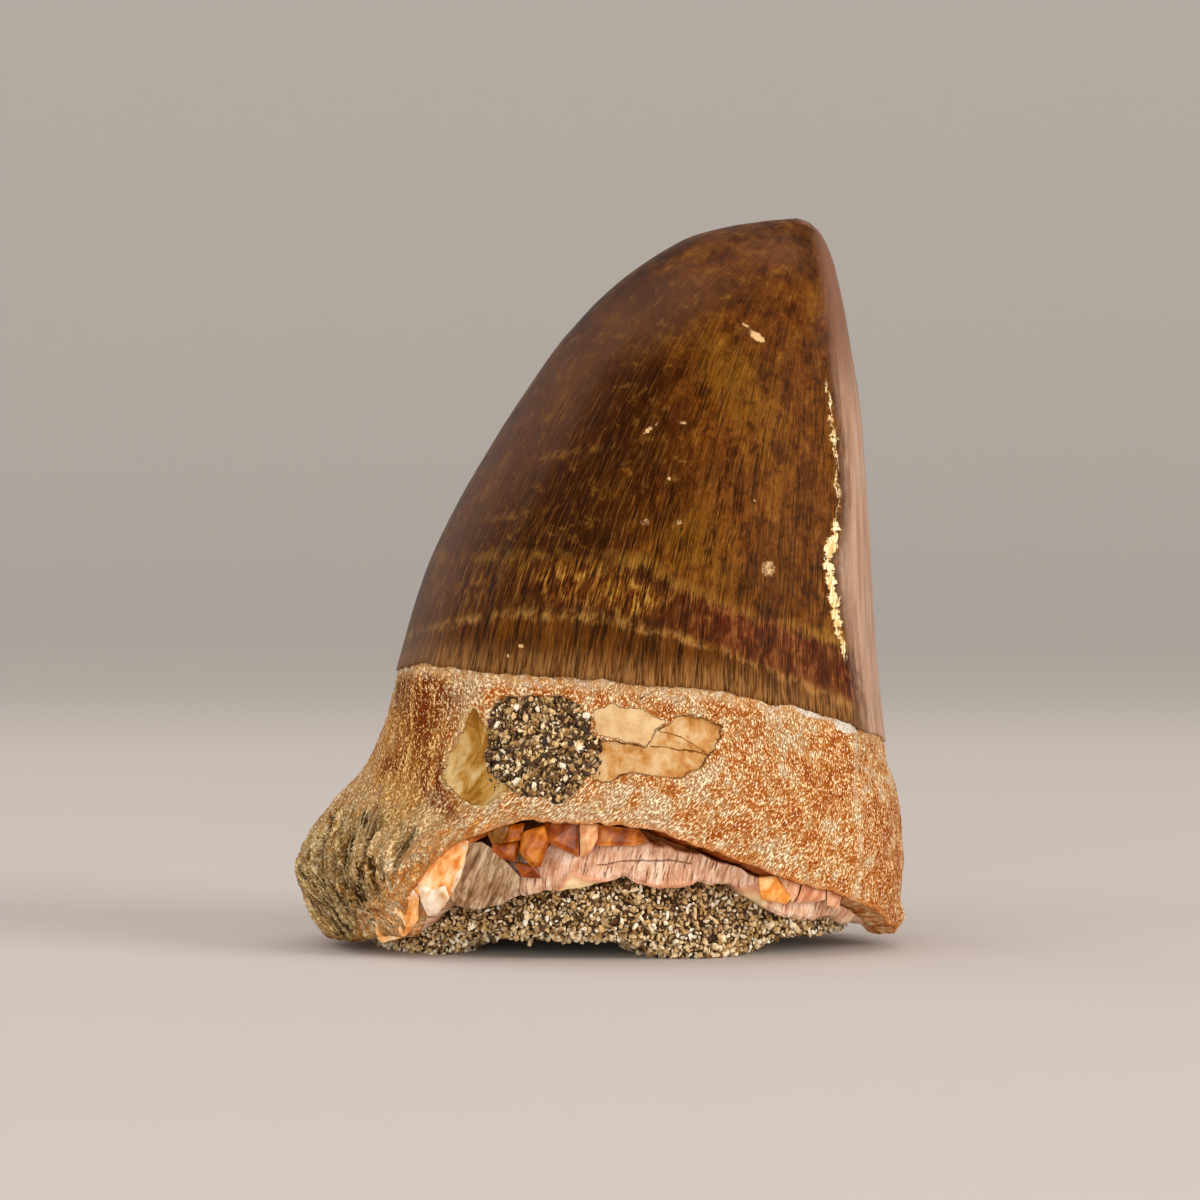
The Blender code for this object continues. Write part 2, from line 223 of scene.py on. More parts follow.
def hollow_row(height):
    """The hollow's wall at each height."""
    level = np.sqrt(np.clip(1 - (height / HOLLOW[2]) ** 2, 0, 1))
    x = HOLLOW_X + HOLLOW[0] * level * np.cos(SIDE)
    y = HOLLOW[1] * level * np.sin(SIDE)
    return np.stack((x, y, height), -1)


def ground_gap(x, y):
    """The height of the sand's underside: an arch with two flat feet on the ground."""
    height = np.full(np.shape(x), ARCH_HEIGHT)
    for foot_x, foot_y, half_x, half_y, depth in FEET:
        away = ((x - foot_x) / half_x) ** 2 + ((y - foot_y) / half_y) ** 2
        height = height - depth * np.exp(-(away**2))
    return np.maximum(height, 0)


# What the rows above say in each direction round the tooth
BROKEN = np.interp(DEGREES, BREAK_AT, BREAK_SHARE)
ARCH = np.interp(DEGREES, ENAMEL_ARCH_AT, ENAMEL_ARCH) + ragged(SIDE, ENAMEL_RAGGED, 1.7)
ARCH = ARCH + ragged(SIDE, ENAMEL_NICKS, 2.9, 30, 4)
LEDGE = np.interp(DEGREES, LEDGE_AT, LEDGE_Z) + ragged(SIDE, RIM_RAGGED, 5.3) * (1 - BROKEN)
LEDGE = LEDGE + ragged(SIDE, LEDGE_NICKS, 6.1, 25, 4)
DENTINE = np.interp(DEGREES, DENTINE_AT, DENTINE_Z) + ragged(SIDE, RIM_RAGGED, 9.1)
DENTINE = DENTINE + ragged(SIDE, DENTINE_NICKS, 7.7, 22, 4)
ENAMEL_Z = outer(ENAMEL_RING)[:, 2] + ARCH
ENAMEL_STEPS = step_at(ENAMEL_Z[None])[0]


def outward(points):
    """The directions that rows of points face."""
    down = np.gradient(points, axis=0)
    ring = points[:, :-1]
    along = np.roll(ring, -1, 1) - np.roll(ring, 1, 1)
    along = np.concatenate((along, along[:, :1]), 1)
    facing = np.cross(down, along)
    length = np.linalg.norm(facing, axis=-1, keepdims=True)
    return facing / np.maximum(length, 1e-12)


def level_out(points):
    """The level directions away from the tooth's middle line."""
    flat = points - np.array((HOLLOW_X, 0, 0))
    flat[..., 2] = 0
    return flat / np.maximum(np.linalg.norm(flat, axis=-1, keepdims=True), 1e-9)


def depth_inside(x, z, outline):
    """How far places seen from the front lie inside a closed outline, below 0 outside it."""
    corners = MM * np.array(outline)
    nearest = np.full(x.shape, np.inf)
    within = np.zeros(x.shape, bool)
    for (x0, z0), (x1, z1) in zip(corners, np.roll(corners, -1, 0)):
        run_x, run_z = x1 - x0, z1 - z0
        t = np.clip(((x - x0) * run_x + (z - z0) * run_z) / (run_x**2 + run_z**2), 0, 1)
        nearest = np.minimum(nearest, np.hypot(x - x0 - t * run_x, z - z0 - t * run_z))
        if run_z:
            within ^= ((z0 > z) != (z1 > z)) & (x < x0 + (z - z0) * run_x / run_z)
    return np.where(within, nearest, -nearest)


def spots(points, places):
    """Soft spots on the front: x, z, half sizes and turn in degrees, and strength of each."""
    total = np.zeros(points.shape[:-1])
    for x, z, half_x, half_z, turn, strength in places:
        dx, dz = points[..., 0] - x * MM, points[..., 2] - z * MM
        c, s = math.cos(math.radians(turn)), math.sin(math.radians(turn))
        away = ((dx * c + dz * s) / (half_x * MM)) ** 2 + ((dz * c - dx * s) / (half_z * MM)) ** 2
        total += strength * np.exp(-away)
    return total * smooth_step(-points[..., 1], 0, 4 * MM)


def deselect():
    """Nothing stays selected, because an operator acts on all that is."""
    bpy.ops.object.select_all(action="DESELECT")


def wrapped_sheet(name, rows, marks):
    """A grid laid over rows of points, closed at its seam and at both ends, with what is marked on it."""
    deselect()
    down, across = rows.shape[:2]
    bpy.ops.mesh.primitive_grid_add(x_subdivisions=across - 1, y_subdivisions=down - 1, size=1)
    sheet = bpy.context.object
    sheet.name = sheet.data.name = name
    sheet.data.vertices.foreach_set("co", rows.ravel())
    for mark, values in marks.items():
        if values.ndim == 3:
            layer = sheet.data.attributes.new(mark, "FLOAT_VECTOR", "POINT")
            layer.data.foreach_set("vector", values.astype(np.float32).ravel())
        else:
            layer = sheet.data.attributes.new(mark, "FLOAT", "POINT")
            layer.data.foreach_set("value", values.astype(np.float32).ravel())
    bpy.ops.object.mode_set(mode="EDIT")
    bpy.ops.mesh.select_all(action="SELECT")
    bpy.ops.mesh.remove_doubles(threshold=1e-6)
    bpy.ops.mesh.normals_make_consistent(inside=False)
    bpy.ops.object.mode_set(mode="OBJECT")
    sheet.data.shade_smooth()
    return sheet


def pole(x, y, z):
    """A row in which the whole sheet meets in one point."""
    return np.broadcast_to(np.array((x, y, z)), (1, COLUMNS + 1, 3))


def filled_marks(marks, before, after):
    """The marks with copies of their end rows, for rows that only close a sheet."""
    made = {}
    for name, values in marks.items():
        first = np.repeat(values[:1], before, 0)
        last = np.repeat(values[-1:], after, 0)
        made[name] = np.concatenate((first, values, last))
    return made


def srgb(red, green, blue):
    """A colour as seen, 0 to 255, in the linear values that shaders take."""
    seen = np.array((red, green, blue)) / 255
    linear = np.where(seen <= 0.04045, seen / 12.92, ((seen + 0.055) / 1.055) ** 2.4)
    return (*linear.tolist(), 1.0)


class Look:
    """A procedural material, built up node by node."""

    def __init__(self, name, ior=1.5):
        self.material = bpy.data.materials.new(name)
        self.material.use_nodes = True
        self.tree = self.material.node_tree
        self.shader = self.tree.nodes["Principled BSDF"]
        self.shader.inputs["IOR"].default_value = ior

    def node(self, kind, **settings):
        """A new node with its settings."""
        made = self.tree.nodes.new(kind)
        for setting, value in settings.items():
            setattr(made, setting, value)
        return made

    def feed(self, socket, value):
        """A socket takes another node's output or a plain value."""
        if isinstance(value, bpy.types.NodeSocket):
            self.tree.links.new(value, socket)
        else:
            socket.default_value = value

    def place(self, name):
        """Places that the mesh carries, which follow its surface."""
        return self.node("ShaderNodeAttribute", attribute_name=name).outputs["Vector"]

    def mark(self, name):
        """A number that the mesh carries at each point."""
        return self.node("ShaderNodeAttribute", attribute_name=name).outputs["Fac"]

    def body(self):
        """Places in the object's own metres."""
        return self.node("ShaderNodeTexCoord").outputs["Object"]

    def scaled(self, place, size):
        """Places divided by a feature's size in millimetres, one number or three."""
        sizes = np.broadcast_to(np.array(size, float), 3) * MM
        made = self.node("ShaderNodeVectorMath", operation="MULTIPLY")
        self.feed(made.inputs[0], place)
        made.inputs[1].default_value = (1 / sizes).tolist()
        return made.outputs[0]

    def slanted(self, place, lean):
        """Places shifted so that what stood upright leans to the right."""
        parts, made = self.node("ShaderNodeSeparateXYZ"), self.node("ShaderNodeCombineXYZ")
        self.feed(parts.inputs[0], place)
        shift = self.maths("MULTIPLY_ADD", parts.outputs[2], -lean, parts.outputs[0])
        for socket, value in zip(made.inputs, (shift, parts.outputs[1], parts.outputs[2])):
            self.feed(socket, value)
        return made.outputs[0]

    def cloud(self, place, size, detail=2.0, roughness=0.5, distortion=0.0):
        """Soft noise whose blots have a size in millimetres."""
        made = self.node("ShaderNodeTexNoise")
        self.feed(made.inputs["Vector"], self.scaled(place, size))
        made.inputs["Scale"].default_value = 1
        made.inputs["Detail"].default_value = detail
        made.inputs["Roughness"].default_value = roughness
        made.inputs["Distortion"].default_value = distortion
        return made.outputs["Fac"]

    def cells(self, place, size, output, feature="F1"):
        """Cells of a size in millimetres."""
        made = self.node("ShaderNodeTexVoronoi", feature=feature)
        self.feed(made.inputs["Vector"], self.scaled(place, size))
        made.inputs["Scale"].default_value = 1
        return made.outputs[output]

    def maths(self, operation, first, second=0.0, third=0.0):
        made = self.node("ShaderNodeMath", operation=operation)
        for socket, value in zip(made.inputs, (first, second, third)):
            self.feed(socket, value)
        return made.outputs[0]

    def rise(self, value, low, high):
        """0 at low and 1 at high, which may be the smaller of the two."""
        made = self.node("ShaderNodeMapRange", interpolation_type="SMOOTHSTEP")
        for socket, number in zip(made.inputs, (value, low, high, 0.0, 1.0)):
            self.feed(socket, number)
        return made.outputs[0]

    def times(self, first, second):
        return self.maths("MULTIPLY", first, second)

    def plus(self, first, second):
        return self.maths("ADD", first, second)

    def mix(self, share, first, second, kind="MIX"):
        """The first colour with a share of the second over it."""
        made = self.node("ShaderNodeMix", data_type="RGBA", blend_type=kind)
        for socket, value in zip((made.inputs[0], made.inputs[6], made.inputs[7]), (share, first, second)):
            self.feed(socket, value)
        return made.outputs[2]

    def ramp(self, value, *stops):
        """Colours at places from 0 to 1."""
        made = self.node("ShaderNodeValToRGB")
        points = made.color_ramp.elements
        while len(points) < len(stops):
            points.new(0.5)
        for point, (at, _) in zip(points, stops):
            point.position = at
        # Moving a stop can reorder them, so they are coloured once all are in place
        for point, (_, colour) in zip(made.color_ramp.elements, stops):
            point.color = colour
        self.feed(made.inputs[0], value)
        return made.outputs[0]

    def relief(self, height, depth, strength=1.0, under=None):
        """Bumps as deep as depth, in millimetres."""
        made = self.node("ShaderNodeBump")
        made.inputs["Strength"].default_value = strength
        made.inputs["Distance"].default_value = depth * MM
        self.feed(made.inputs["Height"], height)
        if under is not None:
            self.feed(made.inputs["Normal"], under)
        return made.outputs[0]

    def done(self, colour, roughness, normal=None, **plain):
        """The finished material. Plain numbers are set on the shader itself."""
        self.feed(self.shader.inputs["Base Color"], colour)
        self.feed(self.shader.inputs["Roughness"], roughness)
        if normal is not None:
            self.feed(self.shader.inputs["Normal"], normal)
        for name, value in plain.items():
            self.shader.inputs[name.replace("_", " ")].default_value = value
        return self.material


# The crown's colour zones and the places of its painted sheen, in millimetres and degrees: x, z, half sizes,
# turn and strength
GOLD = (
    (9.4, 41.8, 2.4, 4.4, 25, 1.0),
    (12.4, 36.0, 2.2, 4.0, 8, 0.45),
    (6.6, 30.4, 2.6, 3.0, -20, 0.7),
    (8.6, 27.6, 3.2, 1.4, -35, 0.6),
    (4.0, 36.6, 1.6, 3.0, 10, 0.35),
    (13.4, 47.6, 1.2, 2.0, 0, 0.3),
)
SHADE = (
    (1.5, 41.5, 4.6, 3.6, 40, 0.8),
    (-3.6, 33.0, 5.4, 4.4, 30, 1.0),
    (-2.8, 30.4, 4.6, 1.5, 6, 0.9),
    (2.4, 36.6, 2.6, 3.0, 0, 0.6),
    (9.8, 47.4, 4.0, 2.0, -10, 0.5),
    (5.0, 45.5, 3.0, 1.6, 25, 0.5),
    (12.5, 28.0, 2.4, 4.0, 0, 0.35),
)
# Painted sheen: a mauve-grey reflection painted over the brown at the crown's left edge, top and tip
PAINTED_SHEEN_SPOTS = (
    (-11.2, 28.0, 2.2, 8.0, -20, 0.9),
    (-5.0, 38.0, 3.6, 7.5, -35, 1.0),
    (4.0, 46.6, 7.5, 2.8, 26, 1.0),
    (13.6, 51.6, 3.4, 2.4, -20, 1.0),
    (17.0, 47.0, 1.6, 5.0, -12, 0.9),
    (-13.4, 22.8, 1.6, 3.4, -10, 0.6),
    (4.0, 20.3, 12.0, 0.45, -3, 0.3),
)
STREAKS = (
    (-6.7, 31.5, 3.0, 0.32, 10, 0.9),
    (-2.4, 36.0, 4.2, 0.35, 9, 0.8),
    (-10.2, 25.6, 1.4, 0.3, 20, 0.6),
    (13.6, 44.0, 0.5, 3.5, 10, 0.4),
)
COMB = (
    (-2.2, 26.9, 3.0, 1.7, -4, 1.0),
    (2.6, 25.8, 2.6, 1.4, -14, 0.9),
    (-8.8, 26.6, 1.6, 1.0, 10, 0.5),
    (-11.5, 26.4, 1.2, 1.6, 0, 0.4),
)
# Small pale chips in the enamel: x, z, half sizes, turn and strength
SCARS = (
    (11.3, 44.3, 0.7, 0.28, -35, 1.0),
    (10.4, 45.2, 0.5, 0.16, -30, 0.6),
    (3.4, 37.6, 0.5, 0.16, 35, 0.9),
    (4.1, 38.2, 0.14, 0.5, -20, 0.5),
    (5.9, 38.2, 0.34, 0.16, -20, 0.8),
    (4.9, 34.2, 0.16, 0.12, 0, 0.9),
    (3.2, 31.1, 0.55, 0.5, 0, 0.48),
    (5.6, 31.1, 0.45, 0.35, 0, 0.48),
    (12.0, 27.8, 0.8, 0.9, 0, 0.54),
    (10.9, 32.6, 0.6, 0.1, -5, 0.7),
    (-6.5, 21.7, 0.16, 0.14, 0, 1.0),
    (-5.6, 22.3, 0.2, 0.18, 0, 1.0),
)
# Growth lines across the crown and the chipped line along its keel, seen from the front
LOW_LINE = MM * np.array((
    (-16.0, 22.2), (-14.1, 22.8), (-12.0, 23.4), (-9.3, 24.2), (-5.7, 24.6), (-2.0, 24.6), (0.3, 24.4),
    (2.6, 23.8), (5.7, 23.0), (8.1, 22.4), (10.2, 21.3), (12.7, 20.3), (16.2, 18.8), (22.0, 16.0),
))
HIGH_LINE = MM * np.array((
    (-16.0, 28.0), (-12.0, 28.5), (-7.1, 28.8), (-2.8, 28.8), (1.4, 28.5), (3.5, 28.3), (5.4, 26.8),
    (7.1, 26.2), (9.6, 25.1), (12.7, 24.1), (16.3, 22.8), (22.0, 20.6),
))
KEEL_LINE = MM * np.array((
    (18.6, 15.0), (17.9, 19.1), (17.3, 22.4), (16.8, 24.8), (16.25, 28.3), (16.8, 30.1), (17.1, 32.4),
    (16.8, 37.1), (16.3, 40.8), (15.8, 46.0), (14.9, 52.0),
))


# The enamel's soft waves: how high and how long
ENAMEL_WAVES = ((0.06 * MM, 7 * MM), (0.02 * MM, 1.5 * MM))
SCAR_DEPTH = 0.10 * MM
# The chipped crest along the front keel: its width, the length of its teeth, its height and how deep the chips
# are, the last two in millimetres
CREST_WIDTH = 0.35 * MM
CREST_TOOTH = 0.9 * MM
CREST_RISE = 0.10
CREST_CHIP = 0.20
# How the enamel's lower edge curls in: how far in and how far up, in millimetres
ENAMEL_LIP = ((0.07, -0.05), (0.22, -0.07), (0.5, 0.2))
INSIDE_CROWN = (4 * MM, 0, 19 * MM)


def crown_rows():
    """Rows from the tip to the enamel's lower edge, evenly far apart on the front."""
    steps = np.linspace(0, ENAMEL_RING, 500)
    line = outer(steps, np.full_like(steps, -math.pi / 2))
    lengths = np.concatenate(((0,), np.cumsum(np.linalg.norm(np.diff(line, axis=0), axis=1))))
    even = np.interp(np.linspace(0, lengths[-1], CROWN_ROWS), lengths, steps) / ENAMEL_RING
    return outer(even[:, None] * ENAMEL_STEPS)


def make_crown():
    """The enamel cap, with its thin lower edge standing just proud of the bone."""
    rows = crown_rows()
    gaps = np.linalg.norm(np.diff(rows, axis=0), axis=-1)
    below = np.concatenate((np.cumsum(gaps[::-1], 0)[::-1], np.zeros((1, COLUMNS + 1))))
    across = np.stack((np.cos(SIDE), np.sin(SIDE)), -1) * CROWN_RADIUS
    run = np.concatenate((np.broadcast_to(across, (*below.shape, 2)), below[..., None]), -1)
    scars = spots(rows, SCARS)
    x, y, z = np.moveaxis(rows, -1, 0)
    keel_off = x - np.interp(z, KEEL_LINE[:, 1], KEEL_LINE[:, 0])
    keel_off = np.where(y < 0, keel_off, 3 * MM)
    keel_near = smooth_step(DEGREES, -85, -65) * (1 - smooth_step(DEGREES, -12, 0))
    # Where the face right of the keel gets its painted sheen
    painted_sheen_face = smooth_step(DEGREES, -90, -60) * (1 - smooth_step(DEGREES, 5, 75))
    marks = {
        "run": run,
        "gold": spots(rows, GOLD),
        "shade": spots(rows, SHADE),
        # painted sheen at the left edge, the top and the tip
        "painted_sheen": spots(rows, PAINTED_SHEEN_SPOTS),
        "streak": spots(rows, STREAKS),
        "comb": spots(rows, COMB),
        "scar": 1.6 * scars,
        "keel_off": keel_off / MM,
        "keel_near": np.broadcast_to(keel_near, z.shape),
        "painted_sheen_face": np.broadcast_to(painted_sheen_face, z.shape),
        "over_low": (z - np.interp(x, LOW_LINE[:, 0], LOW_LINE[:, 1])) / MM,
        "over_high": (z - np.interp(x, HIGH_LINE[:, 0], HIGH_LINE[:, 1])) / MM,
    }
    facing = outward(rows)
    facing[0] = (0, 0, 1)
    push = sum(high * wander(rows / long, 2) for high, long in ENAMEL_WAVES)
    push -= SCAR_DEPTH * np.clip(scars, 0, 1)
    teeth = wander(np.stack((z / CREST_TOOTH, 0 * z, 0 * z + 4), -1), 3)
    crest = np.exp(-((keel_off / CREST_WIDTH) ** 2)) * smooth_step(z, 20 * MM, 23 * MM) * keel_near
    push += crest * (CREST_RISE - CREST_CHIP * smooth_step(teeth, -0.1, 0.3)) * MM
    rows = rows + facing * push[..., None]
    edge = rows[-1]
    lip = [edge - level_out(edge) * inward * MM + np.array((0, 0, up * MM)) for inward, up in ENAMEL_LIP]
    rows = np.concatenate((rows, np.array(lip), pole(*INSIDE_CROWN)))
    crown = wrapped_sheet("crown_enamel", rows, filled_marks(marks, 0, len(lip) + 1))
    crown.data.materials.append(enamel_look())
    return crown


def enamel_look():
    """Glossy brown enamel with fine lengthwise striations and growth bands."""
    look = Look("glossy_enamel", 1.6)
    run, body = look.place("run"), look.body()
    axes = look.node("ShaderNodeSeparateXYZ")
    look.feed(axes.inputs[0], run)
    height = axes.outputs[2]
    places = look.node("ShaderNodeSeparateXYZ")
    look.feed(places.inputs[0], body)
    right = look.rise(places.outputs[0], 3 * MM, 9 * MM)
    fine = look.cloud(run, (0.135, 0.135, 2.1), 3.0, 0.60, 0.8)
    hair = look.cloud(run, (0.09, 0.09, 0.7), 2.0, 0.5, 0.4)
    low_part = look.rise(height, 36 * MM, 14 * MM)
    broad = look.cloud(run, (0.75, 0.75, 6.0), 3.0, 0.6, 0.2)
    mottle = look.cloud(run, (0.8, 0.8, 1.3), 4.0, 0.65, 0.5)
    zone = look.cloud(body, 4.5, 4.0, 0.62)
    broad_jag = look.times(look.maths("SUBTRACT", mottle, 0.5), 3.0)
    jag = look.plus(broad_jag, look.times(look.maths("SUBTRACT", fine, 0.5), 2.2))

    # The clouded brown of the whole crown, with its golden, dark and streaked places
    tone = look.ramp(
        look.plus(look.times(zone, 0.7), look.times(mottle, 0.3)),
        (0.38, srgb(40, 11, 0)), (0.47, srgb(62, 24, 2)), (0.54, srgb(88, 44, 5)), (0.64, srgb(122, 76, 16)),
    )
    tone = look.mix(look.times(right, 0.38), tone, srgb(124, 68, 16))
    tone = look.mix(look.times(look.rise(look.mark("gold"), 0.1, 1.0), 0.85), tone, srgb(110, 68, 12))
    tone = look.mix(look.times(look.rise(look.mark("shade"), 0.1, 1.0), 0.8), tone, srgb(48, 16, 0))
    streak = look.times(look.rise(look.mark("streak"), 0.1, 0.8), look.rise(mottle, 0.42, 0.60))
    tone = look.mix(look.times(streak, 0.45), tone, srgb(144, 98, 40))
    smudge = look.cloud(body, 1.1, 4.0, 0.7, 0.4)
    dark_smudge = look.times(look.rise(smudge, 0.53, 0.36), look.plus(0.35, look.times(right, 0.65)))
    tone = look.mix(dark_smudge, tone, srgb(164, 136, 108), "MULTIPLY")
    tone = look.mix(look.times(look.rise(smudge, 0.54, 0.70), 0.4), tone, srgb(158, 106, 38))

    # The band between the two growth lines, and the plainer brown below it
    over_low = look.plus(look.mark("over_low"), look.times(jag, 0.28))
    over_high = look.plus(look.mark("over_high"), look.times(jag, 0.45))
    comb = look.ramp(
        look.plus(look.times(mottle, 0.6), look.times(fine, 0.4)),
        (0.40, srgb(46, 14, 0)), (0.48, srgb(88, 42, 8)), (0.54, srgb(122, 76, 20)),
        (0.64, srgb(178, 132, 60)),
    )
    ruddy = look.ramp(
        mottle,
        (0.38, srgb(58, 12, 5)), (0.52, srgb(92, 34, 13)), (0.62, srgb(128, 72, 34)),
    )
    band = look.times(look.rise(over_low, -0.2, 0.3), look.rise(over_high, 0.35, -0.35))
    comb = look.mix(look.times(look.rise(look.mark("comb"), 0.8, 0.1), 0.75), comb, srgb(62, 26, 6))
    tone = look.mix(band, tone, look.mix(look.times(right, 0.8), comb, ruddy))
    high_line = look.rise(look.maths("ABSOLUTE", over_high), 0.8, 0.1)
    high_line = look.times(high_line, look.rise(zone, 0.40, 0.62))
    tone = look.mix(look.times(high_line, 0.55), tone, srgb(158, 112, 40))
    plain = look.mix(look.rise(broad, 0.3, 0.7), srgb(50, 18, 0), srgb(94, 50, 8))
    tone = look.mix(look.rise(over_low, 0.1, -0.2), tone, plain)
    low_line = look.rise(look.maths("ABSOLUTE", over_low), 0.60, 0.05)
    low_line = look.times(low_line, look.rise(mottle, 0.40, 0.62))
    tone = look.mix(look.times(low_line, 0.6), tone, srgb(180, 130, 66))

    # Fine dark and light striations, strongest low on the crown
    weight = look.times(look.plus(0.4, look.times(low_part, 0.5)), look.rise(broad, 0.66, 0.40))
    dark_line = look.times(look.rise(fine, 0.53, 0.42), weight)
    tone = look.mix(dark_line, tone, srgb(90, 60, 42), "MULTIPLY")
    light = look.plus(0.04, look.times(low_part, 0.14))
    tone = look.mix(look.times(look.rise(fine, 0.54, 0.66), light), tone, srgb(182, 124, 52))
    tone = look.mix(look.times(look.rise(hair, 0.50, 0.36), 0.45), tone, srgb(112, 84, 62), "MULTIPLY")
    near_edge = look.times(look.rise(height, 2.6 * MM, 0.2 * MM), look.plus(0.2, look.times(broad, 0.8)))
    edge_tone = look.mix(look.rise(fine, 0.42, 0.56), srgb(104, 58, 18), srgb(186, 136, 80))
    tone = look.mix(look.times(near_edge, 0.6), tone, edge_tone)
    # Painted sheen: a mauve-grey reflection painted over the left edge, the top and the tip
    painted_sheen_share = look.times(look.rise(look.mark("painted_sheen"), 0.05, 1.1), look.plus(0.26, look.times(hair, 0.36)))
    tone = look.mix(painted_sheen_share, tone, srgb(102, 68, 50))

    # The face right of the keel with its painted sheen, and the chipped keel line with its painted highlight
    off = look.plus(look.mark("keel_off"), look.times(look.maths("SUBTRACT", mottle, 0.5), 1.1))
    # Painted sheen: the face right of the keel is painted pale, as lit from the right
    painted_sheen_tone = look.mix(look.rise(broad, 0.35, 0.65), srgb(162, 123, 98), srgb(190, 155, 130))
    painted_sheen_tone = look.mix(look.rise(places.outputs[2], 37 * MM, 46 * MM), painted_sheen_tone, srgb(132, 92, 72))
    strip = look.times(look.rise(off, 0.1, 1.5), look.mark("painted_sheen_face"))
    tone = look.mix(look.times(strip, 0.92), tone, painted_sheen_tone)
    thin = look.plus(0.2, look.times(look.rise(places.outputs[2], 33 * MM, 31 * MM), 0.3))
    width = look.times(look.rise(look.cloud(body, (30.0, 30.0, 2.4), 5.0, 0.75), 0.36, 0.62), thin)
    off = look.plus(off, look.times(look.maths("SUBTRACT", look.cloud(body, 0.28, 3.0, 0.6), 0.5), 0.7))
    reach = look.times(
        look.rise(places.outputs[2], 20.5 * MM, 24.5 * MM), look.rise(places.outputs[2], 42 * MM, 38 * MM))
    outside_line = look.maths("SUBTRACT", look.maths("ABSOLUTE", off), look.times(width, reach))
    # The keel line is painted pale yellow-white, partly as real chips and partly as a painted highlight
    keel = look.rise(outside_line, 0.07, -0.07)
    keel_chip_and_glint_tone = look.mix(look.rise(hair, 0.42, 0.58), srgb(206, 164, 92), srgb(252, 236, 190))
    keel = look.times(look.times(keel, look.mark("keel_near")), look.rise(reach, 0.02, 0.2))
    tone = look.mix(keel, tone, keel_chip_and_glint_tone)

    # Small chips
    crumb = look.cloud(body, 0.30, 4.0, 0.75)
    scar = look.rise(look.times(look.mark("scar"), crumb), 0.27, 0.47)
    tone = look.mix(look.times(scar, 0.85), tone, srgb(222, 180, 128))

    lines = look.relief(fine, 0.05, 0.9)
    waves = look.relief(broad, 0.12, 0.5, lines)
    gloss = look.plus(0.26, look.times(fine, 0.16))
    look.shader.inputs["Specular Tint"].default_value = (1.0, 0.5, 0.2, 1.0)
    return look.done(tone, gloss, waves, Specular_IOR_Level=0.1)


# Smooth bare dentine where the bony layer has flaked off, outlined as seen from the front
LOW_FLAKE = (
    (-0.4, 12.9), (0.6, 13.0), (2.2, 13.6), (3.6, 13.3), (5.8, 13.1), (7.1, 13.8), (8.0, 14.9), (8.7, 15.8),
    (8.7, 16.7), (7.1, 17.5), (5.4, 17.4), (4.4, 16.7), (3.2, 15.3), (2.1, 15.6), (-0.2, 15.9), (-0.6, 14.1),
)
HIGH_FLAKE = ((-0.6, 17.9), (0.8, 18.3), (2.8, 17.9), (4.8, 17.2), (3.2, 15.3), (1.8, 15.7), (-0.1, 16.1))
LENS_FLAKE = (
    (-9.2, 18.0), (-10.0, 16.1), (-10.9, 14.5), (-11.2, 12.9), (-10.0, 11.6), (-8.8, 11.1), (-7.8, 11.4),
    (-6.6, 12.3), (-7.0, 13.4), (-7.6, 15.1), (-8.0, 16.6),
)
# Fine cracks in the low flake, and one in the bone just below the enamel
FLAKE_CRACKS = (
    ((4.3, 16.5), (5.0, 16.35), (5.8, 16.0), (7.0, 15.3), (7.7, 14.7)),
    ((3.4, 15.4), (4.8, 15.3), (6.1, 15.2), (7.0, 14.9), (7.7, 14.6)),
)
ENAMEL_CRACKS = (((2.6, 18.6), (4.0, 19.2), (5.1, 19.55), (7.0, 19.75), (9.2, 19.6), (10.7, 19.2)),)
# The worn left end of the break, seen from the front
WORN_EDGE = (
    (-17.8, 0.0), (-12.0, 0.0), (-8.0, 8.0), (-6.6, 10.6), (-9.0, 10.5), (-11.4, 9.7), (-13.2, 8.4),
    (-14.6, 7.0), (-15.2, 5.6), (-16.6, 4.2), (-17.6, 3.0),
)
# White flakes just below the enamel, and the bone's colour zones: x, z, half sizes, turn and strength
WHITE = (
    (14.9, 17.6, 1.4, 0.45, -22, 0.95),
    (17.6, 16.4, 1.0, 0.50, -25, 0.95),
    (10.2, 19.1, 1.3, 0.35, -10, 0.9),
    (3.6, 19.9, 0.8, 0.25, -5, 0.8),
)
ORANGE = (
    (16.5, 14.0, 3.4, 3.0, 0, 1.0),
    (20.5, 12.0, 2.4, 6.0, 0, 0.8),
    (12.5, 11.0, 4.5, 3.0, -20, 0.6),
    (9.5, 18.6, 5.0, 1.4, -8, 0.6),
    (11.5, 15.0, 2.6, 3.0, 0, 0.9),
    (19.5, 5.0, 3.0, 3.5, 0, 0.7),
    (2.0, 18.8, 4.0, 0.9, 0, 0.5),
    (5.5, 9.5, 4.0, 1.6, -20, 0.3),
    (-13.0, 17.0, 2.6, 3.0, 0, 0.6),
)
BROWN = (
    (-13.2, 18.8, 2.6, 1.3, -5, 1.0),
    (-12.6, 16.8, 1.9, 2.4, 0, 0.7),
    (-11.6, 13.0, 1.3, 1.4, -20, 0.9),
    (-15.0, 13.6, 1.6, 0.9, 20, 0.6),
    (-11.0, 10.9, 2.0, 0.7, -35, 0.6),
)
CREAM = (
    (2.0, 11.6, 5.0, 1.2, -4, 1.0),
    (-2.0, 10.9, 4.0, 0.9, 0, 0.7),
    (14.6, 9.6, 1.0, 1.0, 0, 0.4),
    (-10.0, 20.0, 4.5, 0.6, 0, 0.8),
    (-14.3, 15.5, 0.45, 0.55, 0, 1.4),
    (-14.2, 9.6, 2.8, 2.2, 40, 0.7),
    (-9.9, 18.6, 1.0, 0.9, 0, 0.8),
)
FIBROUS = (
    (-13.4, 16.6, 4.0, 4.0, 0, 1.0),
    (-14.6, 11.4, 3.2, 3.0, 40, 0.9),
)
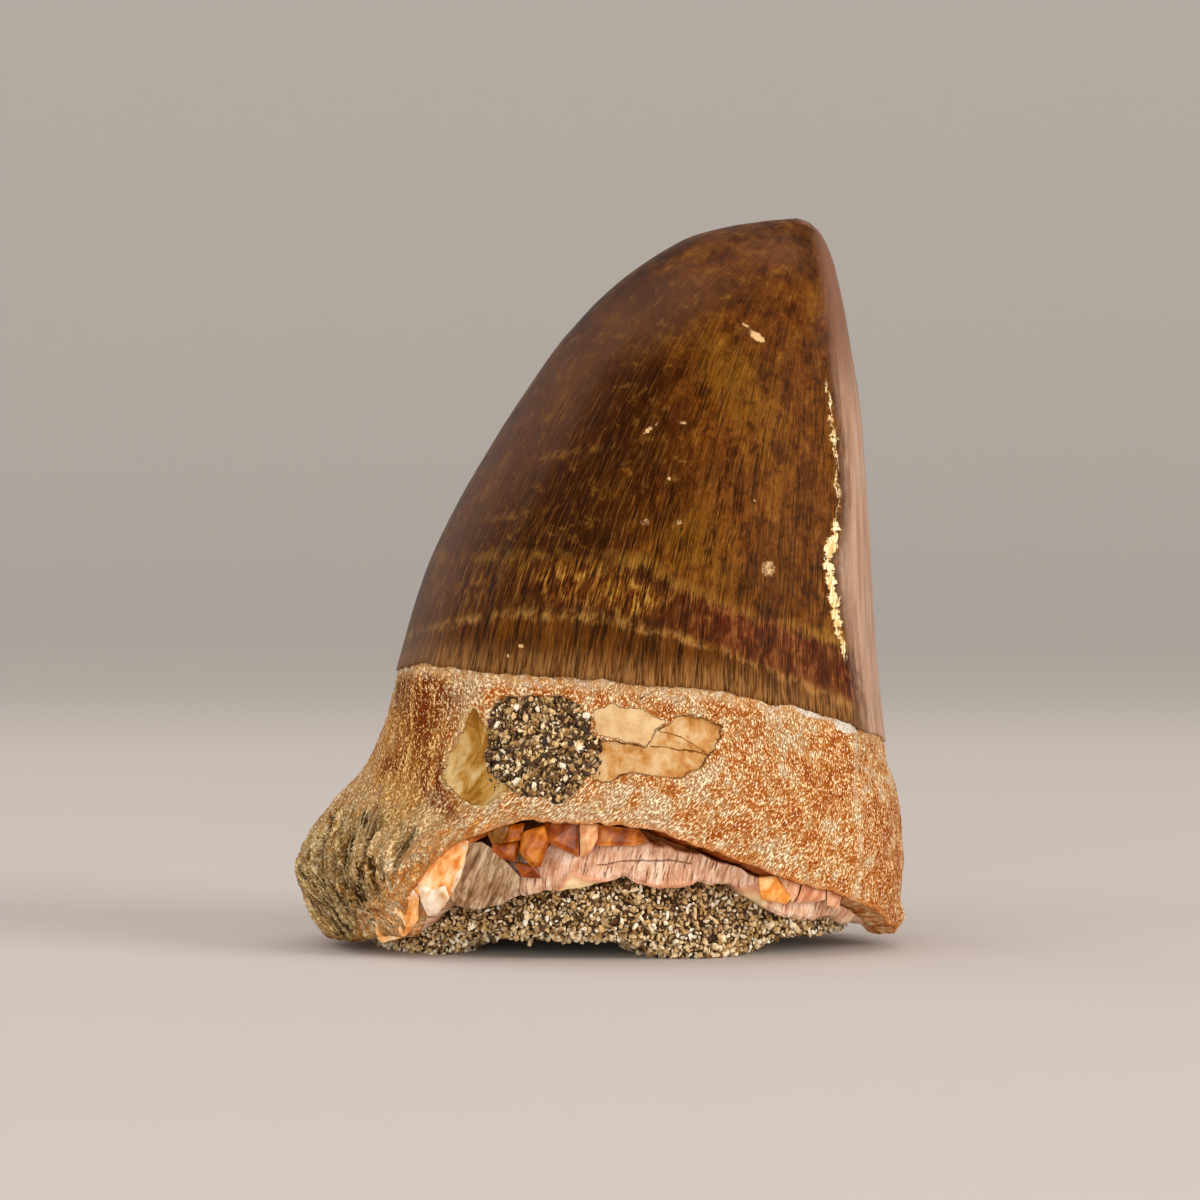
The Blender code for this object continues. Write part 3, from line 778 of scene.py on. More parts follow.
# Deep crevices between the ribs of the flare, darkened with painted shade
CREVICE = (
    (-19.6, 9.0, 0.8, 1.9, -24, 1.0),
    (-18.9, 6.6, 0.5, 1.5, -18, 0.9),
    (-16.6, 8.2, 0.7, 1.7, -22, 1.0),
    (-15.9, 6.0, 0.6, 1.5, -12, 0.9),
    (-17.6, 4.4, 0.5, 1.7, -14, 0.9),
    (-16.1, 3.4, 0.6, 1.2, -8, 0.8),
    (-20.9, 6.4, 0.5, 1.3, -14, 0.8),
    (-14.6, 7.6, 0.4, 1.1, -16, 0.6),
    (-17.0, 2.0, 0.8, 0.6, 0, 0.8),
)

# The bone's relief: ribs and threads, in millimetres, and what the flare adds to each
RIB_HEIGHT = 0.06
FLARE_RIB_HEIGHT = 0.42
THREAD_HEIGHT = 0.05
FLARE_THREAD_HEIGHT = 0.20
CREVICE_DEPTH = 0.30 * MM
LOW_FLAKE_DEPTH = 0.32 * MM
HIGH_FLAKE_DEPTH = 0.12 * MM
LENS_FLAKE_DEPTH = 0.30 * MM
LENS_RIDGE = 0.14 * MM
PIT_SUNK = 1.3 * MM
# An upright split in the bone at the right
SPLIT_X = 18.4 * MM
SPLIT_DEPTH = 0.12 * MM
SPLIT_WIDTH = 0.18 * MM
# Places inside the tooth where the sheets close
INSIDE_BONE_TOP = (4 * MM, 0, 22 * MM)
INSIDE_BONE_FOOT = (HOLLOW_X, 0, 16 * MM)


def fibre_places(points):
    """Places that run along the bone's slanting fibres."""
    height = points[..., 2] - 10 * MM
    height = np.minimum(height, 3 * MM) + 0.3 * np.maximum(height - 3 * MM, 0)
    turned = SIDE - np.interp(DEGREES, FIBRE_TURN_AT, FIBRE_TURN) * height
    x, y = np.cos(turned) * FIBRE_RADIUS, np.sin(turned) * FIBRE_RADIUS
    return np.stack((x, y, points[..., 2]), -1)


def flare_share(points):
    """1 on the flared, coarsely ribbed left side, and 0 away from it."""
    away = (DEGREES + 158 + 180) % 360 - 180
    return np.exp(-((away / 34) ** 2)) * smooth_step(13.5 * MM - points[..., 2], 0, 5 * MM)


def lower_row(down, broken_in, wall_in, rise=0.0):
    """A row of the broken section below the ledge, by its share of the way down and in."""
    height = LEDGE + (DENTINE - LEDGE) * down + rise
    outside = outer(step_at(np.minimum(height, LEDGE)[None])[0])
    inside = hollow_row(height)
    share = BROKEN * broken_in + (1 - BROKEN) * wall_in
    row = outside + (inside - outside) * share[:, None]
    row[:, 2] = height
    return row


def cracks_off(x, z, cracks):
    """How far places are from the nearest of a few cracks."""
    nearest = np.full(x.shape, FAR_OFF)
    for crack in cracks:
        line = MM * np.array(crack)
        beside = (x > line[0, 0]) & (x < line[-1, 0])
        off = np.where(beside, z - np.interp(x, line[:, 0], line[:, 1]), FAR_OFF)
        nearest = np.where(np.abs(off) < np.abs(nearest), off, nearest)
    return nearest


def make_bone():
    """The root's bony outer layer down to the ledge's lip, with the flaked places and the pit."""
    top = ENAMEL_Z - ENAMEL_STEP * 0.2
    share = np.linspace(0, 1, BONE_ROWS)[:, None]
    heights = top + (LEDGE - top) * share
    rows = outer(step_at(heights))
    fibre = fibre_places(rows)
    flare = flare_share(rows)
    facing = level_out(rows)

    push = LUMP_HEIGHT * wander(rows / LUMP_SIZE, 2) * smooth_step(share, 0, 0.1)
    corner = ((DEGREES - SPUR_TURN) / SPUR_SPREAD) ** 2 + ((rows[..., 2] - SPUR_Z) / SPUR_TALL) ** 2
    push += SPUR_OUT * np.exp(-corner)
    ribs = wander(fibre / MM / np.array((1.0, 1.0, 3.6)), 4)
    push += (RIB_HEIGHT + FLARE_RIB_HEIGHT * flare) * MM * ribs
    threads = wander(fibre / MM / np.array((0.42, 0.42, 1.1)) + 7, 3)
    push += (THREAD_HEIGHT + FLARE_THREAD_HEIGHT * flare) * MM * threads
    crevice = spots(rows, CREVICE) * smooth_step(threads + ribs, 0.35, -0.35)
    groove = wander(fibre / MM / np.array((0.85, 0.85, 3.2)) + 21, 3) + 0.35 * threads
    groove = smooth_step(groove / groove.std(), 0.25, 1.1)
    groove = groove * smooth_step(flare, 0.25, 0.7)
    groove = groove * smooth_step(12 * MM - rows[..., 2] + 2 * MM * wander(rows / (2 * MM) + 3), 0, 5 * MM)
    crevice = np.maximum(crevice, groove)
    push -= CREVICE_DEPTH * crevice

    fray = np.stack((wander(rows / (0.9 * MM)), wander(rows / (0.9 * MM) + 5)), -1)
    frayed = rows[..., [0, 2]] + 0.22 * MM * fray
    x, z = frayed[..., 0], frayed[..., 1]
    front = rows[..., 1] < 0
    low = np.where(front, depth_inside(x, z, LOW_FLAKE), -2 * MM)
    high = np.where(front, depth_inside(x, z, HIGH_FLAKE), -2 * MM)
    lens = np.where(front, depth_inside(x, z, LENS_FLAKE), -2 * MM)
    bare = smooth_step(np.maximum(np.maximum(low, high), lens), -0.1 * MM, 0.2 * MM)
    push = push * (1 - 0.85 * bare)
    push -= LOW_FLAKE_DEPTH * smooth_step(low, -0.08 * MM, 0.16 * MM)
    push -= HIGH_FLAKE_DEPTH * smooth_step(high, -0.1 * MM, 0.25 * MM)
    push -= LENS_FLAKE_DEPTH * smooth_step(lens, -0.05 * MM, 0.5 * MM)
    ridge = np.exp(-(((lens + 0.12 * MM) / (0.14 * MM)) ** 2)) * smooth_step(-8.6 * MM - x, 0, MM)
    push += LENS_RIDGE * ridge

    pit = np.where(front, smooth_step(depth_inside(x, z, PIT_EDGE), -0.15 * MM, 0.35 * MM), 0)
    push = push * (1 - pit) - PIT_SUNK * pit
    split = np.where(front, x - SPLIT_X - 0.15 * MM * wander(rows / (2 * MM) + 9), FAR_OFF)
    split_foot = smooth_step(-rows[..., 2], -9 * MM, -5 * MM)
    push -= SPLIT_DEPTH * np.exp(-((split / SPLIT_WIDTH) ** 2)) * split_foot

    rows = rows + facing * push[..., None] - level_out(rows) * (ENAMEL_STEP * (1 - share))[..., None]
    rows[..., 2] = heights
    marks = {
        "fibre": fibre,
        "flare": flare,
        "hollowness": -push / MM,
        "low_flake": low / MM,
        "high_flake": high / MM,
        "lens_flake": lens / MM,
        "pit": pit,
        "split": split / MM,
        "crack": cracks_off(x, z, FLAKE_CRACKS) / MM,
        "enamel_crack": np.where(front, cracks_off(x, z, ENAMEL_CRACKS), FAR_OFF) / MM,
        "worn": np.where(front, smooth_step(depth_inside(x, z, WORN_EDGE), -0.3 * MM, 0.5 * MM), 0),
        "white": spots(rows, WHITE),
        "orange": spots(rows, ORANGE),
        "brown": spots(rows, BROWN),
        "fibrous": spots(rows, FIBROUS),
        "cream": spots(rows, CREAM),
        "crevice": crevice,
        "to_lip": (heights - LEDGE) / MM,
        "broken": np.broadcast_to(BROKEN * smooth_step(LEDGE, 3.6 * MM, 5.2 * MM), heights.shape),
        "to_enamel": (top - heights) / MM,
    }
    lip_start = rows[-1]
    curl = [
        lip_start - level_out(lip_start) * 0.10 * MM + np.array((0, 0, -0.03 * MM)),
        lip_start - level_out(lip_start) * 0.28 * MM + np.array((0, 0, 0.02 * MM)),
        lower_row(-0.06, 0.22, 0.30),
        lower_row(0.0, 0.42, 0.42),
        lower_row(0.03, 0.60, 0.52),
        lower_row(0.03, 0.70, 0.60, 2.5 * MM),
    ]
    tuck = [
        rows[0] - level_out(rows[0]) * 0.6 * MM + np.array((0, 0, 0.8 * MM)),
        rows[0] - level_out(rows[0]) * 0.1 * MM + np.array((0, 0, 0.25 * MM)),
    ]
    closed = np.concatenate((
        pole(*INSIDE_BONE_TOP), np.array(tuck), rows, np.array(curl), pole(*INSIDE_BONE_FOOT)))
    under = len(curl) + 1
    marks = filled_marks(marks, len(tuck) + 1, under)
    marks["to_lip"][-under:] = np.array((-0.1, -0.3, -0.6, -1.2, -2, -3, -3))[:, None]
    bone = wrapped_sheet("root_bone", closed, marks)
    bone.data.materials.append(bone_look())
    return bone


def bone_look():
    """Fibrous fossil bone, cream and orange and flecked along its fibres, with bare dentine in places."""
    look = Look("fibrous_bone")
    fibre, body = look.place("fibre"), look.body()
    fleck = look.cloud(fibre, (0.125, 0.125, 0.20), 2.0, 0.55, 0.3)
    strand = look.cloud(fibre, (0.40, 0.40, 3.6), 3.0, 0.6, 0.3)
    blotch = look.cloud(fibre, (0.55, 0.55, 0.9), 3.0, 0.65, 0.3)
    patch = look.cloud(body, 1.6, 4.0, 0.65)
    broad = look.cloud(body, 4.5, 3.0, 0.6)
    flare = look.mark("flare")

    # The cream and orange ground, with its fibrous, brown and flared parts
    zone = look.plus(look.times(patch, 0.45), look.plus(look.times(broad, 0.25), look.times(blotch, 0.30)))
    zone = look.plus(0.515, look.times(look.maths("SUBTRACT", zone, 0.515), 1.35))
    axes = look.node("ShaderNodeSeparateXYZ")
    look.feed(axes.inputs[0], body)
    zone = look.plus(zone, look.times(look.mark("orange"), 0.03))
    zone = look.plus(zone, look.times(look.rise(axes.outputs[0], 14 * MM, 21 * MM), 0.03))
    zone = look.plus(zone, look.times(look.mark("cream"), -0.07))
    tone = look.ramp(
        zone,
        (0.42, srgb(254, 230, 188)), (0.475, srgb(248, 206, 148)), (0.52, srgb(240, 174, 98)),
        (0.57, srgb(226, 142, 58)), (0.64, srgb(192, 102, 26)),
    )
    fibrous = look.mark("fibrous")
    tone = look.mix(look.times(fibrous, 0.8), tone, look.ramp(
        look.plus(look.times(strand, 0.6), look.times(patch, 0.4)),
        (0.38, srgb(166, 92, 20)), (0.48, srgb(210, 142, 52)), (0.60, srgb(242, 200, 124))))
    brown = look.times(look.rise(look.mark("brown"), 0.10, 0.8), look.rise(strand, 0.66, 0.44))
    tone = look.mix(look.times(brown, 0.95), tone, srgb(128, 52, 2))
    middle = look.times(
        look.rise(axes.outputs[0], -13 * MM, -8 * MM), look.rise(axes.outputs[0], 17 * MM, 9 * MM))
    tone = look.mix(look.times(middle, 0.5), tone, srgb(226, 210, 200), "MULTIPLY")
    cord = look.cloud(fibre, (0.26, 0.26, 1.9), 3.0, 0.6, 0.5)
    tone = look.mix(look.times(flare, 0.92), tone, look.ramp(
        look.plus(look.times(cord, 0.6), look.times(blotch, 0.4)),
        (0.38, srgb(108, 74, 22)), (0.45, srgb(166, 126, 62)), (0.52, srgb(220, 186, 120)),
        (0.60, srgb(250, 232, 184)),
    ))

    # Flecks, dark ones first, and painted shade in the flare's hollows and between its ribs
    even = look.maths("SUBTRACT", 1.0, look.times(flare, 0.55))
    dark_fleck = look.times(look.rise(fleck, 0.54, 0.40), look.times(even, 0.9))
    tone = look.mix(dark_fleck, tone, srgb(214, 160, 112), "MULTIPLY")
    tone = look.mix(look.times(look.rise(fleck, 0.46, 0.37), look.times(even, 0.6)), tone, srgb(128, 68, 14))
    pale = look.mix(fibrous, srgb(255, 236, 198), srgb(248, 204, 128))
    tone = look.mix(look.times(look.rise(fleck, 0.54, 0.66), look.times(even, 0.7)), tone, pale)
    # Painted shade: the flare is darker where it is sunk, and darkest in the crevices between its ribs
    painted_hollow_shade = look.times(look.rise(look.mark("hollowness"), -0.04, 0.30), flare)
    tone = look.mix(look.times(painted_hollow_shade, 0.45), tone, srgb(104, 70, 20))
    painted_crevice_shade = look.times(look.rise(look.mark("crevice"), 0.1, 0.75), look.rise(cord, 0.66, 0.46))
    tone = look.mix(look.times(painted_crevice_shade, 0.92), tone, srgb(48, 30, 5))
    tone = look.mix(look.times(brown, look.rise(fleck, 0.66, 0.40)), tone, srgb(124, 48, 2))

    # The worn left end of the break, and what shows along the enamel's edge
    worn_tone = look.ramp(
        look.plus(look.times(patch, 0.35), look.times(blotch, 0.65)),
        (0.38, srgb(206, 112, 30)), (0.47, srgb(240, 170, 94)), (0.57, srgb(254, 228, 184)))
    tone = look.mix(look.times(look.mark("worn"), look.rise(fleck, 0.36, 0.56)), tone, worn_tone)
    thin_crack = look.rise(look.maths("ABSOLUTE", look.mark("enamel_crack")), 0.10, 0.03)
    tone = look.mix(look.times(thin_crack, 0.8), tone, srgb(96, 44, 12))

    border = look.rise(look.plus(look.mark("to_enamel"), look.times(blotch, -2.0)), 0.0, -0.6)
    tone = look.mix(look.times(border, 0.6), tone, look.ramp(
        look.cloud(body, 0.6, 4.0, 0.65), (0.38, srgb(206, 132, 62)), (0.5, srgb(234, 188, 126)),
        (0.62, srgb(248, 226, 198))))
    flakes = look.rise(look.times(look.mark("white"), look.plus(blotch, fleck)), 0.42, 0.56)
    tone = look.mix(flakes, tone, srgb(246, 228, 206))

    # The three flaked places, with a dark line round the low one and a pale rim round the left one
    bare_tone = look.ramp(
        look.cloud(body, (1.1, 1.1, 1.5), 4.0, 0.6, 0.2),
        (0.34, srgb(162, 100, 40)), (0.48, srgb(190, 138, 78)), (0.64, srgb(208, 172, 124)),
    )
    frayed = look.times(look.maths("SUBTRACT", look.cloud(body, 0.25, 2.0), 0.5), 0.16)
    low, high = look.plus(look.mark("low_flake"), frayed), look.plus(look.mark("high_flake"), frayed)
    lens = look.plus(look.mark("lens_flake"), frayed)
    tone = look.mix(look.rise(high, -0.02, 0.06), tone, look.mix(0.45, bare_tone, srgb(224, 196, 150)))
    tone = look.mix(look.rise(low, -0.02, 0.06), tone, bare_tone)
    tone = look.mix(look.rise(lens, -0.02, 0.10), tone, look.ramp(
        look.cloud(fibre, (0.9, 0.9, 2.2), 4.0, 0.65, 0.6),
        (0.36, srgb(136, 86, 24)), (0.48, srgb(174, 126, 54)), (0.64, srgb(202, 172, 118))))
    worn = look.rise(look.cloud(body, 0.8, 2.0), 0.40, 0.60)
    line = look.rise(look.maths("ABSOLUTE", look.plus(low, -0.02)), 0.07, 0.02)
    tone = look.mix(look.times(look.times(line, worn), 0.75), tone, srgb(84, 36, 8))
    crack = look.rise(look.maths("ABSOLUTE", look.mark("crack")), 0.06, 0.02)
    tone = look.mix(look.times(crack, look.rise(low, 0.0, 0.1)), tone, srgb(110, 62, 20))
    rim = look.rise(look.maths("ABSOLUTE", look.plus(lens, 0.12)), 0.16, 0.06)
    tone = look.mix(look.times(rim, look.times(worn, 0.6)), tone, srgb(240, 208, 146))

    # The split at the right, the ledge's lip and what lies behind it
    split = look.maths("ABSOLUTE", look.plus(look.mark("split"), -0.12))
    split_share = look.times(look.rise(split, 0.26, 0.08), look.rise(blotch, 0.42, 0.60))
    tone = look.mix(look.times(split_share, 0.5), tone, srgb(250, 226, 184))
    lip = look.mark("to_lip")
    lip_tone = look.mix(flare, srgb(220, 134, 66), srgb(156, 118, 60))
    tone = look.mix(look.times(look.rise(lip, 0.45, 0.05), 0.7), tone, lip_tone)
    # Below the lip it is red-brown where the wall is broken, partly its own colour and partly painted shade
    # under the overhang
    under_lip_tone_with_shade = look.mix(look.mark("broken"), look.ramp(
        look.cloud(body, 0.7, 4.0, 0.65), (0.38, srgb(176, 96, 34)), (0.5, srgb(222, 158, 96)),
        (0.62, srgb(246, 216, 172))), srgb(190, 94, 28))
    tone = look.mix(look.rise(lip, -0.1, -0.4), tone, under_lip_tone_with_shade)
    # Painted shade: the bone is dark inside the pit, in the gap round the sand plug
    tone = look.mix(look.rise(look.mark("pit"), 0.35, 0.8), tone, srgb(84, 54, 24))

    bare = look.maths("MAXIMUM", look.rise(low, 0.0, 0.1), look.maths(
        "MAXIMUM", look.rise(high, 0.0, 0.1), look.rise(lens, 0.0, 0.15)))
    rough = look.maths("SUBTRACT", 1.0, look.times(bare, 0.85))
    pits = look.times(look.plus(look.rise(fleck, 0.38, 0.60), look.times(blotch, 0.6)), rough)
    normal = look.relief(pits, 0.14, 1.0, look.relief(look.times(strand, rough), 0.16, 0.6))
    return look.done(tone, look.plus(0.45, look.times(rough, 0.25)), normal, Specular_IOR_Level=0.04)


# The section of the broken wall, from the cleft under the ledge to the rim: the share down from the cleft,
# how far in it is where the wall is broken, and how far in it is elsewhere
WALL_SECTION = np.array((
    (-0.12, 0.64, 0.50),
    (-0.04, 0.48, 0.55),
    (0.0, 0.39, 0.60),
    (0.05, 0.37, 0.63),
    (0.60, 0.45, 0.74),
    (0.90, 0.51, 0.83),
    (1.00, 0.58, 0.90),
))
WALL_ROWS = 60
# How far down from the ledge the dentine's face starts, as a share of the broken height
CLEFT_AT = (-125, -100, -90, -82, -73, -40)
CLEFT_DOWN = (0.31, 0.31, 0.29, 0.20, 0.15, 0.15)
# A crack along the band of dentine, seen from the front
BAND_CRACK = MM * np.array(((-0.4, 6.9), (1.2, 7.15), (3.0, 7.35), (5.2, 7.3), (6.6, 7.0)))
# The upper edge of the thin pink layer along the dentine's foot, as seen from the front
PINK_AT = (-22, -3.3, -3.2, -2.0, -1.1, 0.6, 3.8, 7.1, 9.0, 10.9, 11.7, 12.0, 22)
PINK_Z = (0, 0, 4.9, 6.7, 6.3, 5.9, 5.6, 5.6, 5.3, 5.4, 5.7, 0, 0)
PINK_THICK = 0.30 * MM
STRIATION_HEIGHT = 0.10 * MM
DENTINE_LUMPS = 0.12 * MM


def make_dentine():
    """The broken wall below the ledge: the band of dentine, its lower edge and the hollow's mouth."""
    cleft = np.interp(DEGREES, CLEFT_AT, CLEFT_DOWN) + ragged(SIDE, 0.05, 3.3, 14)
    knots = range(len(WALL_SECTION))
    rows = []
    for place in np.linspace(0, len(WALL_SECTION) - 1, WALL_ROWS):
        down, broken_in, wall_in = (np.interp(place, knots, column) for column in WALL_SECTION.T)
        rows.append(lower_row(cleft + (1 - cleft) * down, broken_in, wall_in))
    rows = np.array(rows)
    across = np.stack((np.cos(SIDE), np.sin(SIDE)), -1) * FIBRE_RADIUS
    run = np.concatenate((np.broadcast_to(across, (*rows.shape[:2], 2)), rows[..., 2:]), -1)
    facing = level_out(rows)
    pink_top = np.interp(rows[..., 0] / MM, PINK_AT, PINK_Z) * MM
    pink_top = np.where(rows[..., 1] < 0, pink_top, 0)
    over = (pink_top - rows[..., 2]) + 0.08 * MM * wander(rows / (0.8 * MM))
    pink = smooth_step(over, -0.06 * MM, 0.06 * MM) * BROKEN
    push = PINK_THICK * pink * (1 - 0.5 * smooth_step(over, 0.1 * MM, 0.9 * MM))
    push += STRIATION_HEIGHT * wander(run / MM / np.array((0.7, 0.7, 5.0)), 3)
    push += DENTINE_LUMPS * wander(rows / (1.8 * MM) + 4)
    rows = rows + facing * push[..., None]
    start = [lower_row(0.0, 0.72, 0.48, 1.5 * MM)]
    mouth = [hollow_row(DENTINE + MOUTH_RISE), hollow_row(DENTINE + 3 * MM)]
    closed = np.concatenate((
        pole(HOLLOW_X, 0, 15 * MM), np.array(start), rows, np.array(mouth), pole(HOLLOW_X, 0, 14.4 * MM)))
    under = (LEDGE - rows[..., 2]) / (LEDGE - DENTINE) - cleft
    crack_off = rows[..., 2] - np.interp(rows[..., 0], BAND_CRACK[:, 0], BAND_CRACK[:, 1], left=0, right=0)
    marks = {
        "run": run,
        "pink": pink,
        "over_pink": over / MM,
        "under_cleft": under,
        "band_crack": np.where(rows[..., 1] < 0, crack_off, FAR_OFF) / MM,
    }
    marks = filled_marks(marks, len(start) + 1, len(mouth) + 1)
    dentine = wrapped_sheet("root_dentine", closed, marks)
    dentine.data.materials.append(dentine_look())
    return dentine


def dentine_look():
    """Pinkish dentine with fine upright striations, red-brown in the cleft above it, partly its own colour and
    partly painted shade.
    """
    look = Look("striated_dentine")
    run, body = look.place("run"), look.body()
    fine = look.cloud(run, (0.13, 0.13, 1.1), 3.0, 0.6, 0.3)
    broad = look.cloud(run, (0.8, 0.8, 5.0), 3.0, 0.6, 0.3)
    patch = look.cloud(body, 1.3, 4.0, 0.65)
    tone = look.ramp(
        look.plus(look.times(broad, 0.5), look.times(patch, 0.5)),
        (0.38, srgb(196, 134, 92)), (0.48, srgb(224, 174, 138)), (0.60, srgb(246, 216, 188)),
    )
    clusters = look.plus(0.35, look.times(look.rise(patch, 0.42, 0.56), 0.6))
    tone = look.mix(look.times(look.rise(fine, 0.48, 0.38), clusters), tone, srgb(112, 54, 26))
    tone = look.mix(look.times(look.rise(fine, 0.55, 0.66), 0.6), tone, srgb(254, 236, 212))
    crack = look.plus(look.mark("band_crack"), look.times(look.maths("SUBTRACT", patch, 0.5), 0.5))
    crack = look.rise(look.maths("ABSOLUTE", crack), 0.09, 0.03)
    tone = look.mix(look.times(crack, 0.8), tone, srgb(96, 44, 20))
    pink_tone = look.ramp(
        look.mark("over_pink"),
        (0.0, srgb(214, 142, 104)), (0.35, srgb(222, 158, 116)), (0.8, srgb(244, 214, 160)),
    )
    tone = look.mix(look.times(look.mark("pink"), 0.85), tone, pink_tone)
    # Painted shade in the cleft under the ledge, over the dentine's own red-brown
    cleft = look.rise(look.mark("under_cleft"), 0.03, -0.03)
    tone = look.mix(look.times(cleft, 0.9), tone, look.ramp(
        patch, (0.4, srgb(168, 74, 12)), (0.6, srgb(232, 142, 66))))
    calm = look.maths("SUBTRACT", 1.0, look.times(look.mark("pink"), 0.7))
    normal = look.relief(look.times(fine, calm), 0.08, 0.9, look.relief(broad, 0.14, 0.5))
    return look.done(tone, 0.48, normal, Specular_IOR_Level=0.35)


def front_place(x, z, inset=0.0):
    """The place on the root's unbroken outside that is seen at x and z, in millimetres, or inside it."""
    steps = np.linspace(ENAMEL_RING - 3, LAST_RING, 500)
    rings = ring_at(steps)
    share = np.clip((x * MM - rings[:, 0]) / (rings[:, 2] - rings[:, 0]), 0.02, 0.98)
    heights = rings[:, 1] + share * (rings[:, 3] - rings[:, 1])
    nearest = np.argmin(np.abs(heights - z * MM))
    side = -math.acos(2 * share[nearest] - 1)
    place = outer(steps[nearest], np.array([side]))[0]
    return np.array((x * MM, place[1] + inset * MM, z * MM))


def select_faces(piece, wanted):
    """In edit mode, selects the faces that a test picks."""
    bpy.ops.mesh.select_all(action="DESELECT")
    bpy.ops.object.mode_set(mode="OBJECT")
    for face in piece.data.polygons:
        face.select = wanted(face)
    bpy.ops.object.mode_set(mode="EDIT")
    bpy.ops.mesh.select_mode(type="FACE")


# Broken chips of dentine: name, look, how deep in the wall their face starts, how far its crest stands out,
# how thick they are, and their outline seen from the front, all in millimetres
SHARDS = (
    ("chip_under_hook", "amber", 0.75, 0.25, 1.6,
     ((-10.5, 9.1), (-8.1, 10.2), (-7.8, 9.4), (-8.0, 9.0), (-9.0, 8.5), (-9.8, 8.5))),
    ("chip_olive", "olive", 0.35, 0.30, 1.6,
     ((-8.0, 9.3), (-7.1, 10.4), (-6.4, 9.9), (-6.4, 9.2), (-6.8, 8.6), (-7.6, 8.5))),
    ("chip_bright", "amber", 0.60, 0.15, 1.6,
     ((-6.6, 9.9), (-5.3, 10.0), (-5.5, 8.8), (-7.1, 8.5))),
    ("chip_middle", "amber", 0.22, 0.32, 1.9,
     ((-5.5, 9.4), (-3.9, 9.9), (-3.6, 8.7), (-4.1, 7.0), (-4.8, 6.9), (-5.7, 8.0))),
    ("chip_dark", "umber", 0.75, 0.20, 1.5,
     ((-7.6, 8.6), (-5.7, 8.7), (-5.9, 7.3), (-6.8, 7.4), (-7.6, 8.0))),
    ("chip_foot", "umber", 0.80, 0.15, 1.3,
     ((-6.0, 7.2), (-4.6, 7.1), (-4.1, 6.1), (-5.5, 6.2))),
    ("chip_wide", "umber", 0.90, -0.10, 1.4,
     ((-4.0, 10.3), (-1.5, 10.2), (-1.5, 7.6), (-3.6, 8.6))),
    ("chip_fin", "pale", 0.55, 0.20, 1.8,
     ((-1.45, 10.2), (-0.1, 10.0), (-0.15, 8.9), (-0.7, 8.0), (-1.4, 7.6))),
    ("chip_right", "amber", 1.05, -0.10, 1.4,
     ((-0.2, 9.95), (2.8, 9.6), (3.5, 8.7), (2.3, 8.4), (-0.3, 8.4))),
    ("wall_break", "chunk", 0.55, 0.10, 2.4,
     ((-12.6, 8.4), (-10.6, 9.3), (-9.3, 8.7), (-9.8, 6.6), (-10.6, 4.6), (-12.4, 4.6), (-13.9, 4.9),
      (-14.4, 6.0), (-13.4, 7.4))),
    ("wall_white", "white", 0.20, 0.25, 2.0,
     ((-12.9, 5.6), (-11.8, 5.2), (-10.9, 5.5), (-10.6, 4.6), (-11.6, 3.3), (-12.2, 3.2), (-12.7, 4.3))),
    ("wall_cone", "white", 0.40, 0.20, 1.8,
     ((-14.3, 4.9), (-13.3, 5.3), (-12.8, 4.6), (-12.9, 3.9), (-14.0, 4.1))),
    ("wall_block", "grey", 0.80, 0.05, 2.0,
     ((-9.5, 8.5), (-8.3, 8.6), (-7.2, 7.9), (-5.6, 6.2), (-5.7, 5.4), (-6.8, 4.2), (-8.6, 3.8),
      (-10.3, 4.0), (-10.6, 4.6), (-10.0, 6.3))),
    ("wall_sliver", "white", 0.62, 0.10, 1.6,
     ((-9.75, 8.5), (-9.35, 8.6), (-9.5, 7.4), (-9.9, 6.0), (-10.4, 4.9), (-10.6, 5.2), (-10.1, 6.6))),
    ("wall_foot", "chunk", 0.10, 0.05, 2.2,
     ((-14.9, 3.8), (-14.0, 4.6), (-12.8, 4.6), (-12.9, 3.0), (-13.8, 1.6), (-15.6, 1.0), (-16.2, 1.6),
      (-15.6, 3.0))),
    ("block_first", "honey", 1.0, 0.15, 1.6,
     ((11.2, 6.0), (12.5, 6.1), (13.6, 4.4), (13.2, 4.0), (11.4, 4.4))),
    ("block_second", "pink", 1.1, 0.10, 1.5,
     ((12.6, 6.0), (14.3, 5.5), (14.0, 4.5), (13.6, 4.0), (13.5, 4.5))),
    ("block_third", "pink", 1.0, 0.12, 1.5,
     ((14.4, 5.5), (16.1, 4.9), (16.1, 4.1), (13.9, 4.0))),
    ("block_fourth", "pink", 0.95, 0.10, 1.4,
     ((16.2, 4.85), (17.3, 4.3), (17.0, 3.4), (16.2, 3.7))),
)
SHARD_INSET = 0.30        # from a chip's outline to its crest, in millimetres
SHARD_BEVEL = 0.07        # millimetres
# Dark, middle and light colours of each look
SHARD_COLOURS = {
    "amber": ((112, 44, 0), (162, 78, 4), (210, 128, 42)),
    "olive": ((84, 44, 0), (124, 74, 8), (166, 104, 32)),
    "honey": ((198, 104, 22), (232, 150, 62), (250, 204, 136)),
    "umber": ((94, 30, 0), (144, 64, 2), (190, 100, 22)),
    "pale": ((170, 92, 40), (212, 142, 86), (240, 194, 142)),
    "chunk": ((222, 128, 40), (248, 182, 108), (255, 230, 190)),
    "white": ((214, 158, 104), (242, 214, 180), (252, 242, 224)),
    "grey": ((96, 60, 30), (164, 124, 86), (206, 176, 142)),
    "pink": ((190, 116, 76), (220, 158, 116), (244, 206, 168)),
}
# How streaky the looks are, and how far their broken faces are knocked out of flat, in millimetres
SHARD_STREAKS = {"grey": 0.85, "pink": 0.5, "chunk": 0.3}
SHARD_ROUGH = {"chunk": 0.16, "white": 0.06, "grey": 0.05, "pink": 0.08}
PLAIN_STREAKS = 0.12
PLAIN_ROUGH = 0.02


